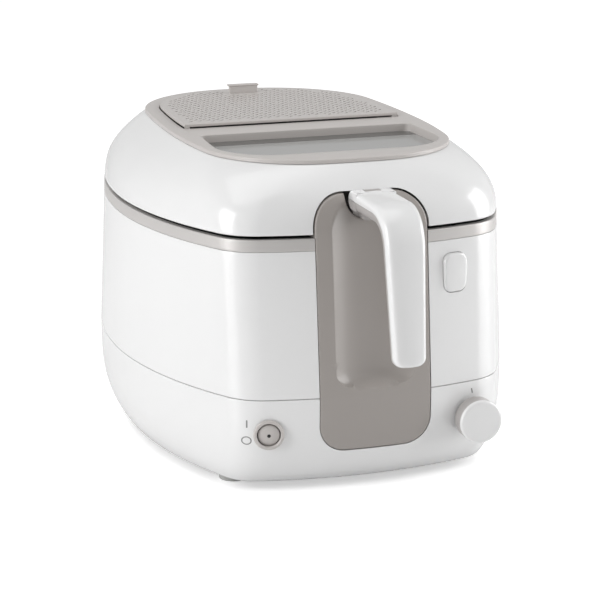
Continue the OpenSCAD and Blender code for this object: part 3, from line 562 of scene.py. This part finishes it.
base = tube("base_moulding", shell(FOOT_Z, SEAM_Z, 26, WALL, 1.6, 0.5, tuck_ease), WHITE, "root")
cut(base, [panel_cutter(PANEL_GAP), plug(dish(KNOB_HOLE), *KNOB, -30, 30),
           plug(dish(SWITCH_HOLE), *SWITCH, -30, 30),
           box_cutter((GLAND_X - GLAND_HALF, 150, GLAND_Z - GLAND_HALF),
                      (GLAND_X + GLAND_HALF, 190, GLAND_Z + GLAND_HALF))])
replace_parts(base, "base_housing")
body = tube("body_moulding", shell(SEAM_Z + 0.5, BAND_LOW - 0.15, 30, WALL, 0.5, 0.3), WHITE, "root")
cut(body, [panel_cutter(PANEL_GAP), plug(block(*BUTTON_HOLE), *BUTTON, -20, 30)])
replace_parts(body, "body_shell")
band = tube("rim_band", shell(BAND_LOW + 0.1, BAND_LOW + BAND_H, 6, BAND_WALL, 0.35, 0.5), BAND, "root")
cut(band, [panel_cutter(PANEL_GAP), box_cutter(*BAND_OPENING)])
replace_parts(band, "trim_band")
lid = tube("lid_moulding", shell(LID_Z, DOME_Z, 40, WALL, 1.1, 0.4, dome_ease), WHITE, "lid")
cut(lid, [panel_cutter(LID_GAP, LID_BEHIND), box_cutter(*LID_OPENING)])
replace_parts(lid, "lid_shell")


# ---------------------------------------------------------------- front panel
# How much closer than its offset a moved point may come to the loop
NEARER = 0.03


def offset_loop(pts, d):
    """A closed loop moved towards its inside; points that come too close to the loop are dropped."""
    p = np.array(pts)
    t = np.roll(p, -1, 0) - np.roll(p, 1, 0)
    t /= np.linalg.norm(t, axis=1)[:, None] + 1e-12
    q = p + d * np.stack([-t[:, 1], t[:, 0]], 1)
    keep = loop_distance(q, pts) > abs(d) - NEARER
    return [tuple(v) for v in q[keep]]


def loop_distance(q, pts):
    """Distance of the points q from a closed loop."""
    a = np.array(pts)
    b = np.roll(a, -1, 0)
    d = b - a
    q = np.atleast_2d(q)
    w = q[:, None, :] - a[None]
    t = np.clip((w * d[None]).sum(2) / ((d * d).sum(1)[None] + 1e-12), 0, 1)
    return np.linalg.norm(w - t[..., None] * d[None], axis=2).min(1)


def inside(q, pts):
    """Which of the points q lie within a closed loop."""
    a = np.array(pts)
    b = np.roll(a, -1, 0)
    q = np.atleast_2d(q)
    x, y = q[:, 0][:, None], q[:, 1][:, None]
    span = (a[None, :, 1] > y) != (b[None, :, 1] > y)
    with np.errstate(divide="ignore", invalid="ignore"):
        rise = b[None, :, 1] - a[None, :, 1]
        cross = a[None, :, 0] + (y - a[None, :, 1]) * (b[None, :, 0] - a[None, :, 0]) / rise
    return ((span & (x < cross)).sum(1) % 2) == 1


def triangulate(loops, extra=()):
    """Triangles between an outer loop and the holes, through extra points.

    Returns the points, the triangles, and for each loop the numbers of its points."""
    pts, edges = [], []
    for loop in loops:
        k = len(pts)
        pts += [Vector(p) for p in loop]
        edges += [(k + i, k + (i + 1) % len(loop)) for i in range(len(loop))]
    pts += [Vector(p) for p in extra]
    verts, _, faces, sources, _, _ = delaunay_2d_cdt(pts, edges, [], 1, 1e-6)
    place = {s: i for i, group in enumerate(sources) for s in group}
    ids, k = [], 0
    for loop in loops:
        ids.append([place[k + i] for i in range(len(loop))])
        k += len(loop)
    mid = np.array([[sum(verts[i][k] for i in f) / len(f) for k in (0, 1)] for f in faces])
    ok = inside(mid, loops[0])
    for hole in loops[1:]:
        lo, hi = np.min(hole, 0), np.max(hole, 0)
        near = ok & (mid > lo).all(1) & (mid < hi).all(1)
        idx = np.nonzero(near)[0]
        if len(idx):
            ok[idx[inside(mid[idx], hole)]] = False
    return [tuple(v) for v in verts], [tuple(f) for f, good in zip(faces, ok) if good], ids


def sheet_faces(faces, found, m):
    """Faces of a sheet whose back's points follow the m points of its front."""
    solid = list(faces) + [tuple(m + i for i in reversed(f)) for f in faces]
    for ids in found:
        n = len(ids)
        solid += [(ids[i], ids[(i + 1) % n], m + ids[(i + 1) % n], m + ids[i]) for i in range(n)]
    return solid


SCOOP_HW, SCOOP_LOW, SCOOP_R, SCOOP_DEPTH, NOTCH_Z, NOTCH_HW = 29.0, 77.0, 12.0, 9.0, 188.0, 16.5
# Where the scoop's outline ends above the panel, and the height over which its foot runs out
SCOOP_TOP, RUN_OUT = 214, 9.0
# Radius of the scoop's hollow, the depth of that radius' centre, and the lean of the housing's front
CURVE = (SCOOP_HW ** 2 + SCOOP_DEPTH ** 2) / (2 * SCOOP_DEPTH)
AXIS_Y = -BASE[1] + SCOOP_DEPTH + 1 - CURVE
LEAN = (BASE[1] - RIM[1]) / (LID_SEAM - SEAM_Z)
PANEL_ROUND, PANEL_THICK = 0.9, 12.8
# Offsets of the point rows along the panel's edge and the scoop's, the pitch, reach and number of
# rows of the grid between, and how far the grid stays from both
EDGE_ROWS = (0.12, 0.35, 0.65, 0.95, 1.6)
SCOOP_ROWS = (-0.6, 0.0, 0.3, 0.8, 1.6, 2.6, 4.0, 6.0, 8.5)
GRID_X, GRID_Z, GRID_HW, GRID_LOW, GRID_ROWS = 2.2, 2.0, 39, 31, 88
SCOOP_CLEAR, EDGE_CLEAR = 1.2, 0.1


def scoop_outline():
    x, low = SCOOP_HW, SCOOP_LOW + SCOOP_R
    return (arc((x - SCOOP_R, low), SCOOP_R, -90, 0, 16) + [(x, z) for z in steps(95, SCOOP_TOP, 50)]
            + [(v, SCOOP_TOP) for v in steps(x - 2, 2 - x, 20)]
            + [(-x, z) for z in steps(SCOOP_TOP, 95, 50)] + arc((SCOOP_R - x, low), SCOOP_R, 180, 270, 16))


def panel_face(q, edge):
    """Depth of the panel's front face at points (x, z), which lie at these distances from its edge."""
    out = []
    for (x, z), e in zip(q, edge):
        y = front_y(x, z)
        trough = AXIS_Y + math.sqrt(max(0.0, CURVE ** 2 - x * x)) + (z - SEAM_Z) * LEAN
        beyond = min(SCOOP_R, max(0.0, abs(x) - (SCOOP_HW - SCOOP_R)))
        low = SCOOP_LOW + SCOOP_R - math.sqrt(SCOOP_R ** 2 - beyond ** 2)
        t = min(1.0, max(0.0, (z - low) / RUN_OUT))
        y += max(0.0, trough - y) * math.sqrt(1 - (1 - t) ** 2)
        if e < PANEL_ROUND:
            y += PANEL_ROUND - math.sqrt(max(0.0, PANEL_ROUND ** 2 - (PANEL_ROUND - e) ** 2))
        out.append(y)
    return out


def panel_loop():
    """The panel's outline with the notch in its top, in steps of about GRID_X."""
    rim, half = panel_points(0), 2 * (CORNER_STEPS + 1)
    notch = [(16.8, 206.0), (16.5, 205.7)] + arc((0, NOTCH_Z + NOTCH_HW), NOTCH_HW, 0, -180, 40)
    loop = rim[:half] + notch + [(-16.5, 205.7), (-16.8, 206.0)] + rim[half:]
    dense = []
    for a, b in zip(loop, loop[1:] + loop[:1]):
        m = max(1, int(math.dist(a, b) / GRID_X))
        dense += [(a[0] + (b[0] - a[0]) * i / m, a[1] + (b[1] - a[1]) * i / m) for i in range(m)]
    return dense


def make_panel():
    dense, scoop = panel_loop(), scoop_outline()
    extra = []
    for d in EDGE_ROWS:
        extra += offset_loop(dense, d)
    for d in SCOOP_ROWS:
        extra += offset_loop(scoop, d)
    grid = [(x + (GRID_X / 2 if j % 2 else 0), GRID_LOW + GRID_Z * j)
            for j in range(GRID_ROWS) for x in np.arange(-GRID_HW, GRID_HW + 0.5, GRID_X)]
    extra += [g for g, d in zip(grid, loop_distance(grid, scoop)) if d > SCOOP_CLEAR]
    extra = np.array(extra)
    good = inside(extra, dense) & (loop_distance(extra, dense) > EDGE_CLEAR)
    points, faces, found = triangulate([dense], [tuple(v) for v in extra[good]])
    q = np.array(points)
    depth = panel_face(q, loop_distance(q, dense))
    verts = [(x, y, z) for (x, z), y in zip(points, depth)]
    verts += [(x, front_y(x, z) + PANEL_THICK, z) for x, z in points]
    panel = make("panel_moulding", verts, sheet_faces(faces, found, len(points)), TAUPE, "root", 50)
    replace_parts(panel, "front_panel")


make_panel()

# ---------------------------------------------------------------- handle
PIVOT_Y, PIVOT_Z, ROOT_LEN, ELBOW_R, GRIP_LEN, BEND = -163.0, 203.0, 40.0, 22.0, 78.0, 82.0
ELBOW = ELBOW_R * math.radians(BEND)
HANDLE_LEN = ROOT_LEN + ELBOW + GRIP_LEN
# Width at the root and at the end, and the rounding of the end in plan and in thickness
ROOT_W, END_W, NOSE_R, NOSE_THIN = 29, 22, 6, 3


def spine(s):
    """The handle's path: y, z and slope at the length s from its pivot."""
    a = min(1, max(0, (s - ROOT_LEN) / ELBOW)) * math.radians(BEND)
    e, r = max(0, s - ROOT_LEN - ELBOW), min(s, ROOT_LEN)
    y = PIVOT_Y - r - ELBOW_R * math.sin(a) - e * math.cos(a)
    return y, PIVOT_Z - ELBOW_R * (1 - math.cos(a)) - e * math.sin(a), a


def handle_ring(s, low, high, trim, round_r, crown):
    """A section: flat at the parting line, rounded and slightly crowned on the outer side."""
    y, z, a = spine(s)
    t = min(1, max(0, (s - ROOT_LEN) / (HANDLE_LEN - ROOT_LEN)))
    left = HANDLE_LEN - s - trim * 0.4
    hw = (ROOT_W + (END_W - ROOT_W) * t) / 2 - trim
    pinch = 0.0
    if left < NOSE_R:
        hw -= NOSE_R - math.sqrt(max(0.0, NOSE_R ** 2 - (NOSE_R - left) ** 2))
    if left < NOSE_THIN:
        pinch = (NOSE_THIN - math.sqrt(max(0.0, NOSE_THIN ** 2 - (NOSE_THIN - left) ** 2))) / NOSE_THIN
    top = low + (high - low) * (1 - 0.55 * pinch)
    r = min(round_r, abs(top - low) * 0.75, hw * 0.9)
    sign = 1 if high > low else -1
    pts = [(hw, low), (hw, top - sign * r)]
    pts += [(hw - r + r * math.cos(b), top - sign * r + sign * r * math.sin(b))
            for b in (0.3, 0.6, 0.9, 1.2, math.pi / 2)]
    pts += [((hw - r) * c, top + sign * crown * (1 - c * c)) for c in (0.75, 0.5, 0.25)]
    pts += [(0, top + sign * crown)] + [(-x, h) for x, h in reversed(pts)]
    return [(x, y - h * math.sin(a), z + h * math.cos(a)) for x, h in pts]


def handle_stations():
    """Lengths of the handle's sections, close together at its end and in its elbow."""
    return ([7.0, 7.4, 8.2] + steps(11, ROOT_LEN, 6) + steps(ROOT_LEN + 1, ROOT_LEN + ELBOW, 22)
            + steps(HANDLE_LEN - GRIP_LEN + 5, HANDLE_LEN - 8, 12)
            + [HANDLE_LEN - v for v in (6, 5, 4, 3, 2.2, 1.5, 0.9, 0.5, 0.2, 0.05)])


lengths = handle_stations()
cover = loft("handle_top", [handle_ring(s, 0.2, 6.0, 0.0, 4.2, 1.0) for s in lengths], WHITE, "handle", 50)
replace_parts(cover, "handle_cover")
grip = loft("handle_under", [handle_ring(s, -0.2, -6.6, 0.35, 4.0, 0.5) for s in lengths[:-1]], GREY,
            "handle", 50)


def lathe(profile, n=96):
    """Rings of a turned form from (radius, out) pairs."""
    return [[(r * math.cos(2 * math.pi * i / n), r * math.sin(2 * math.pi * i / n), d) for i in range(n)]
            for r, d in profile]


def turned(name, profile, place, mat, body):
    return loft(name, [placed(r, *place) for r in lathe(profile)], mat, body)


def cheek_ring(x, low, high, g):
    """The outline of a half cheek at x, smaller by g: round the pivot, then straight to its front."""
    r = abs(high) - g
    pts = [(PIVOT_Y + r * math.cos(b), PIVOT_Z + math.copysign(max(abs(low), r * math.sin(b)), high))
           for b in steps(0.03, math.pi / 2, 12)]
    pts += [(PIVOT_Y - 9, PIVOT_Z + math.copysign(r, high)), (PIVOT_Y - 9, PIVOT_Z + low)]
    return [(x, y, z) for y, z in pts]


CHEEK_SECTIONS = ((5.8, 0.5), (6.2, 0.0), (13.4, 0.0), (14.0, 0.3), (14.3, 0.9))
for side, word in ((-1, "left"), (1, "right")):
    for part, low, high, mat, node in (("top", 0.2, 6.4, WHITE, "handle_cover"),
                                       ("under", -0.15, -6.5, GREY, "handle_grip")):
        rings = [cheek_ring(side * x, low, high, g) for x, g in CHEEK_SECTIONS]
        cheek = loft("handle_cheek_%s_%s" % (part, word), rings, mat, "handle", 40)
        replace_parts(cheek, node)
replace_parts(grip, "handle_grip")

# ---------------------------------------------------------------- knob, switch, button, marks
# Profiles are (radius, out) pairs
CAP = ([(0.01, 9.6), (14.6, 9.6), (15.2, 9.9), (15.4, 10.4), (15.4, 10.9)]
       + [(13.2 + 2.2 * math.cos(b), 10.9 + 2.2 * math.sin(b)) for b in steps(0.1, 1.45, 8)]
       + [(12, 13.12), (6, 13.2), (0.01, 13.25)])
SKIRT = [(6.2, 0.25), (14.4, 0.25), (15.0, 0.6), (15.1, 1.2), (14.9, 9.5), (6.2, 9.5)]
BEZEL = [(8.1, -9), (9.0, -9), (9.05, -0.1), (10.5, 0.0), (10.6, 0.4), (10.45, 1.0), (10.0, 1.45),
         (9.4, 1.65), (8.6, 1.6), (8.15, 1.2), (8.1, 0.6)]
WELL = [(0.01, -8.6), (8.0, -8.6), (8.0, -7.6), (0.01, -7.4)]
DOT = [(0.01, 4.2), (1.25, 4.2), (1.25, 4.40), (1.1, 4.47), (0.01, 4.48)]
STEM = [(0.01, -12.2), (2.8, -12.2), (3, -12.0), (3, -6.7), (0.01, -6.7)]
ROCKER_LEAN, ROCKER_PIVOT, ROCKER_CROWN = math.radians(6), 3.4, 29
knob = turned("knob_cap", CAP, KNOB, WHITE, "knob")
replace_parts(knob, "thermostat_knob")
skirt = tube("knob_skirt", [placed(r, *KNOB) for r in lathe(SKIRT)], GREY, "knob")
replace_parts(skirt, "thermostat_knob")
bezel = tube("switch_ring", [placed(r, *SWITCH) for r in lathe(BEZEL)], FRAME, "root")
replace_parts(bezel, "switch_bezel")
# A near-black disc at the floor of the switch's bore: painted shade
turned("switch_well", WELL, SWITCH, SHADE_AND_DOT_BLACK, "root")


def on_rocker(points):
    """A ring of the rocker, which leans about its middle; out is measured from its own pivot."""
    c, s = math.cos(ROCKER_LEAN), math.sin(ROCKER_LEAN)
    leant = [(x, z * c - out * s, z * s + out * c - ROCKER_PIVOT) for x, z, out in points]
    return placed(leant, *SWITCH)


def rocker_profile():
    """The rocker's turned profile: a crowned face with a small round at its edge."""
    pts = [(0.01, -2.4), (7.0, -2.4), (7.4, -2.0), (7.4, 3.0)]
    for r in (7.38, 7.1, 6.4, 5, 3.5, 2, 0.01):
        edge = 0.35 if r > 7.3 else 0.12 if r > 7.0 else 0
        pts.append((r, -24.6 + math.sqrt(ROCKER_CROWN * ROCKER_CROWN - r * r) - edge))
    return pts


rocker = loft("switch_cap", [on_rocker(r) for r in lathe(rocker_profile())], FRAME, "switch_rocker", 40)
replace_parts(rocker, "switch_rocker")
loft("switch_dot", [on_rocker(r) for r in lathe(DOT, 32)], SHADE_AND_DOT_BLACK, "switch_rocker", 40)


def crowned(name, half, r, place, d0, d1, edge, crown, mat, body):
    """A rounded push button: straight sides, a soft edge and a crowned face."""
    def level(g, k, out):
        loop = block(half[0] - g, half[1] - g, r - g * 0.7)
        return placed([(x * k, z * k, out) for x, z in loop], *place)

    rings = [level(0, 1, d0)]
    for b in steps(0, math.pi / 2, 6):
        rings.append(level(edge * (1 - math.cos(b)), 1, d1 - edge + edge * math.sin(b)))
    for k in (0.8, 0.55, 0.3, 0.08):
        rings.append(level(edge, k, d1 + crown * (1 - k * k)))
    return loft(name, rings, mat, body, 40)


button = crowned("button_cap", (9, 13.5), 6, BUTTON, -6.8, 2.0, 1.7, 0.5, WHITE, "lid_button")
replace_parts(button, "lid_button")
stem = turned("button_stem", STEM, BUTTON, DARK, "lid_button")
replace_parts(stem, "lid_button")


PRINT_LIFT, PRINT_SINK = 0.05, 0.3


def mark(name, loops):
    """A printed mark that lies on the housing: loops of (x, z), the first outside."""
    points, faces, found = triangulate(loops)
    verts = [(x, front_y(x, z) - PRINT_LIFT, z) for x, z in points]
    verts += [(x, front_y(x, z) + PRINT_SINK, z) for x, z in points]
    make(name, verts, sheet_faces(faces, found, len(points)), PRINT, "root", 30)


def shifted(loop, x, z, turn=0.0):
    """A loop turned by degrees and moved to (x, z)."""
    c, s = math.cos(math.radians(turn)), math.sin(math.radians(turn))
    return [(x + p * c - q * s, z + p * s + q * c) for p, q in loop]


mark("mark_on", [shifted(block(0.45, 2.7, 0.4, 3), -88.0, 54)])
mark("mark_off", [shifted(dish(3.1, 40), -88.0, 42), shifted(dish(2.35, 40), -88.0, 42)])
mark("mark_knob", [shifted(block(0.5, 1.9, 0.45, 3), 73, 63.6, 14)])

# ---------------------------------------------------------------- top frame and filter cover
WINDOW_HW, FRAME_SIDE, FILTER_FRONT, LIP = 80.0, 11.0, 4.0, 4.0
WINDOW_LOW, FILTER_LOW = FRAME_Z - 9, FRAME_Z - 17
LIP_THICK, UNDER_GROW, FRAME_ROUND, COVER_ROUND = 1.6, 2, 0.8, 0.7
FILTER_CORNER = 2.0


def window_points(g):
    """The window opening's loop, grown by g."""
    return (arc((WINDOW_HW - 38, -70), 40 + g, -90, -3, 22) + arc((WINDOW_HW - 5, -29), 5 + g, 0, 90, 6)
            + arc((5 - WINDOW_HW, -29), 5 + g, 90, 180, 6) + arc((38 - WINDOW_HW, -70), 40 + g, 183, 270, 22))


def filter_points(g):
    """The filter opening's loop, grown by g: the frame's outline behind a straight front edge."""
    back = [p for p in outline(TOP, FRAME_SIDE - g) if p[1] > FILTER_FRONT + 14]
    r, f, c = back[0][0], FILTER_FRONT - g, FILTER_CORNER
    return arc((r - c, f + c), c, -90, 0, 5) + back + arc((c - r, f + c), c, 180, 270, 5)


def grown(points, z):
    return [(x, y, z) for x, y in points]


def flat_face(loops, z, up):
    points, faces, _ = triangulate(loops)
    return grown(points, z), [f if up else tuple(reversed(f)) for f in faces]


def rounding(r):
    """Steps (inwards, down) of a rounded upper edge, from its foot to its top."""
    return [(r * (1 - math.cos(b)), r * (1 - math.sin(b))) for b in steps(0, math.pi / 2, 4)]


def gather(name, parts, mat, body, angle=35):
    """One closed piece from patches that share their border points."""
    verts, faces = [], []
    for v, f in parts:
        k = len(verts)
        verts += v
        faces += [tuple(k + i for i in q) for q in f]
    return make(name, verts, faces, mat, body, angle)


def wall_rings(rings):
    return [p for r in rings for p in r], strip(len(rings[0]), len(rings))


def make_frame():
    bend = rounding(FRAME_ROUND)
    edge = [grown(outline(TOP), FRAME_Z)] + [grown(outline(TOP, a), TOP_Z - b) for a, b in bend]
    holes = []
    for pts, low in ((window_points, WINDOW_LOW), (filter_points, FILTER_LOW)):
        ledge = low + LIP_THICK
        rings = [grown(pts(a), TOP_Z - b) for a, b in reversed(bend)]
        rings += [grown(pts(g), z) for g, z in ((0, ledge), (-LIP, ledge), (-LIP, low), (UNDER_GROW, low),
                                                (UNDER_GROW, FRAME_Z))]
        holes.append(wall_rings(rings))
    top_loops = [outline(TOP, FRAME_ROUND), window_points(FRAME_ROUND), filter_points(FRAME_ROUND)]
    top = flat_face(top_loops, TOP_Z, True)
    under = flat_face([outline(TOP), window_points(UNDER_GROW), filter_points(UNDER_GROW)], FRAME_Z, False)
    parts = [wall_rings(edge), top, under] + holes
    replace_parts(gather("top_frame_moulding", parts, FRAME, "lid"), "top_frame")


make_frame()
SHADE_HW = WINDOW_HW - 0.6
SHADE_EDGE = [(-SHADE_HW, -39), (SHADE_HW, -39), (SHADE_HW, -29.5), (WINDOW_HW - 5.4, -24.6),
              (5.4 - WINDOW_HW, -24.6), (-SHADE_HW, -29.5)]
# The pane lies on a gasket of 1.4 mm and is 3 mm thick
PANE_TOP = WINDOW_LOW + LIP_THICK + 1.4 + 3.0
loft("window_shade", [grown(SHADE_EDGE, PANE_TOP + h) for h in (0.02, 0.12)], SHADE, "lid", 30)
TILT = math.radians(-0.4)
COVER_Y = FILTER_FRONT + 4
COVER_H = 2.2
# The grille's slots: their two pitches, the shift from row to row, their lean, shape and number
PITCH_U, PITCH_W, ROW_SHIFT = 7.4, 4.4, 1.8
SLOT_LEAN = math.radians(47)
SLOT_SHAPE = ((-2.6, 0), (-2.1, -0.65), (2.1, -0.65), (2.6, 0), (2.1, 0.65), (-2.1, 0.65))
GRILLE_Y, SLOTS_U, SLOTS_W = 85, 24, 36
# The plain patch that carries the lifting tab
TAB_PATCH_HW, TAB_PATCH_Y = 16, 125


def on_cover(x, y, h):
    """A point of the filter cover, h above its underside."""
    v = y - COVER_Y + 2
    c, s = math.cos(TILT), math.sin(TILT)
    return (x, COVER_Y - 2 + v * c - h * s, TOP_Z + 0.4 + v * s + h * c)


def cover_border(g):
    """The cover's loop moved inwards by g; cutting its front straight keeps the number of points."""
    low = COVER_Y - 0.9 + g
    return [(x, max(y, low)) for x, y in filter_points(-0.6 - g)]


def slot_loops():
    u = (math.cos(SLOT_LEAN), math.sin(SLOT_LEAN))
    w = (-u[1], u[0])
    safe = cover_border(5.0)
    slots = []
    for i in range(-SLOTS_U, SLOTS_U + 1):
        for j in range(-SLOTS_W, SLOTS_W + 1):
            a, b = i * PITCH_U + j * ROW_SHIFT, j * PITCH_W
            x, y = a * u[0] + b * w[0], GRILLE_Y + a * u[1] + b * w[1]
            if y <= COVER_Y + 7 or (abs(x) < TAB_PATCH_HW and y > TAB_PATCH_Y):
                continue
            loop = [(x + p * u[0] + q * w[0], y + p * u[1] + q * w[1]) for p, q in SLOT_SHAPE]
            if inside(loop, safe).all():
                slots.append(loop)
    return slots


def make_cover():
    slots = slot_loops()
    bend = rounding(COVER_ROUND)
    rings = [(0.25, 0), (0, 0.25)] + [(a, COVER_H - b) for a, b in bend]
    side = wall_rings([[on_cover(x, y, h) for x, y in cover_border(g)] for g, h in rings])
    upper, top, _ = triangulate([cover_border(COVER_ROUND)] + slots)
    lower, low, _ = triangulate([cover_border(0.25)] + slots)
    skirt = [[on_cover(x, y, 0.6) for x, y in cover_border(0.5)], grown(cover_border(0.15), TOP_Z + 0.55),
             grown(cover_border(0.4), TOP_Z + 0.3), grown(cover_border(2.0), TOP_Z + 0.3),
             [on_cover(x, y, 0.6) for x, y in cover_border(2.2)]]
    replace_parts(tube("filter_skirt", skirt, FRAME, "filter_cover"), "filter_cover")
    parts = [side, ([on_cover(x, y, COVER_H) for x, y in upper], top),
             ([on_cover(x, y, 0) for x, y in lower], [tuple(reversed(f)) for f in low])]
    for slot in slots:
        parts.append(wall_rings([[on_cover(x, y, h) for x, y in slot] for h in (COVER_H, 0)]))
    cover = gather("filter_grille", parts, FRAME, "filter_cover")
    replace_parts(cover, "filter_cover")


make_cover()


def soft_box(name, x, y, z, r, mat, body, tilt=0.0):
    """A moulded block with rounded edges, between the low and high values given."""
    (x0, x1), (y0, y1), (z0, z1) = x, y, z
    cx, cy, hx, hy = (x0 + x1) / 2, (y0 + y1) / 2, (x1 - x0) / 2, (y1 - y0) / 2
    levels = [(r * (1 - math.sin(b)), z0 + r * (1 - math.cos(b))) for b in steps(0, math.pi / 2, 4)]
    levels += [(r * (1 - math.sin(b)), z1 - r * (1 - math.cos(b))) for b in steps(0, math.pi / 2, 4)][::-1]
    rings = []
    for g, h in levels:
        loop = block(hx - g, hy - g, max(0.3, r - g * 0.6), 5)
        rings.append([(cx + px, cy + py + (h - z0) * tilt, h) for px, py in loop])
    return loft(name, rings, mat, body, 40)


TAB_Y = 133.5
TAB_Z = on_cover(0, TAB_Y, 1.2)[2]
SILL_Z = 222.4
for piece in (soft_box("lift_tab", (-11.6, 11.6), (TAB_Y - 1.4, TAB_Y + 1.6), (TAB_Z, 234.2), 0.7, FRAME,
                       "filter_cover", 0.05),
              soft_box("lift_tab_top", (-12.4, 12.4), (TAB_Y - 1.6, TAB_Y + 4.6), (233.2, 234.6), 0.6, FRAME,
                       "filter_cover")):
    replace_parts(piece, "filter_cover")
soft_box("frame_sill", (-77.9, 77.9), (FILTER_FRONT - 0.4, FILTER_FRONT + 2.3), (SILL_Z, 224.7), 0.4, FRAME,
         "lid")
for word, x_range in (("left", (-82.2, -78.4)), ("right", (78.4, 82.2))):
    hook = soft_box("cover_hook_%s" % word, x_range, (COVER_Y - 0.9, COVER_Y + 1.8),
                    (SILL_Z, TOP_Z + 1.2), 0.6, FRAME, "filter_cover")
    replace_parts(hook, "filter_cover")

# ---------------------------------------------------------------- wire basket
BOWL_Y, BASKET_HX, BASKET_HY, BASKET_R = 8.0, 85.0, 109.0, 30.0
BASKET_Z, BASKET_TOP = 80.0, 172.0
# Spacing of the hoops, how far inside the wall they lie, how much higher the crossing ones lie, and
# the radius of their bends
HOOP_PITCH, WIRE_IN, CROSS_UP, BEND_R = 7.2, 1.0, 1.4, 7.0


def wire(points, r=0.75, n=8, closed=False):
    """Points and faces of a wire along a path, with its section kept square to the path."""
    p = np.array(points, float)
    t = np.roll(p, -1, 0) - np.roll(p, 1, 0) if closed else np.gradient(p, axis=0)
    t /= np.linalg.norm(t, axis=1)[:, None]
    turns = [2 * math.pi * i / n for i in range(n)]
    verts, normal = [], np.array([0, 0, 1.0]) if abs(t[0][2]) < 0.9 else np.array([1.0, 0, 0])
    for c, d in zip(p, t):
        normal = np.cross(d, np.cross(normal, d))
        normal /= np.linalg.norm(normal)
        side = np.cross(d, normal)
        verts += [tuple(c + r * (math.cos(v) * normal + math.sin(v) * side)) for v in turns]
    m = len(p)
    faces = strip(n, m, closed)
    if not closed:
        faces += [tuple(reversed(range(n))), tuple((m - 1) * n + i for i in range(n))]
    return verts, faces


def basket_loop(g, z, n=10):
    return [(x, y + BOWL_Y, z) for x, y in block(BASKET_HX + g, BASKET_HY + g, BASKET_R + g, n)]


def hoop_path(half, fixed, along_x):
    """A wire that runs up one wall, across the bottom and up the other."""
    top, low, r = BASKET_TOP - 3, BASKET_Z + 0.9, BEND_R
    edge = half - WIRE_IN
    path = [(-edge, z) for z in steps(top, low + r, 4)]
    path += [(r - edge + r * math.cos(b), low + r + r * math.sin(b))
             for b in steps(math.pi, 1.5 * math.pi, 5)[1:]]
    path += [(v, low) for v in steps(r - edge, edge - r, 12)[1:-1]]
    path += [(edge - r + r * math.cos(b), low + r + r * math.sin(b))
             for b in steps(1.5 * math.pi, 2 * math.pi, 5)]
    path += [(edge, z) for z in steps(low + r, top, 4)[1:]]
    return [(u, fixed, z) if along_x else (fixed, BOWL_Y + u, z) for u, z in path]


def corner_uprights():
    """Wires up the four rounded corners of the basket."""
    r, found = BASKET_R - WIRE_IN, []
    for sx in (-1, 1):
        for sy in (-1, 1):
            for b in (18, 36, 54, 72):
                x = sx * (BASKET_HX - BASKET_R + r * math.cos(math.radians(b)))
                y = BOWL_Y + sy * (BASKET_HY - BASKET_R + r * math.sin(math.radians(b)))
                found.append(wire([(x, y, z) for z in steps(BASKET_Z + 7, BASKET_TOP - 3, 4)]))
    return found


wires = []
for v in np.arange(-54, 54.1, HOOP_PITCH):
    wires.append(wire(hoop_path(BASKET_HY, v, False)))
for v in np.arange(-75.6, 75.7, HOOP_PITCH):
    wires.append(wire([(x, y, z + CROSS_UP) for x, y, z in hoop_path(BASKET_HX, BOWL_Y + v, True)]))
wires += corner_uprights()
for height in (8, 26, 44, 62, 80):
    wires.append(wire(basket_loop(0.35, BASKET_Z + height), 0.9, 8, True))
weave = gather("basket_wires", wires, CHROME, "basket", 60)
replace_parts(weave, "basket_walls", "basket_floor")
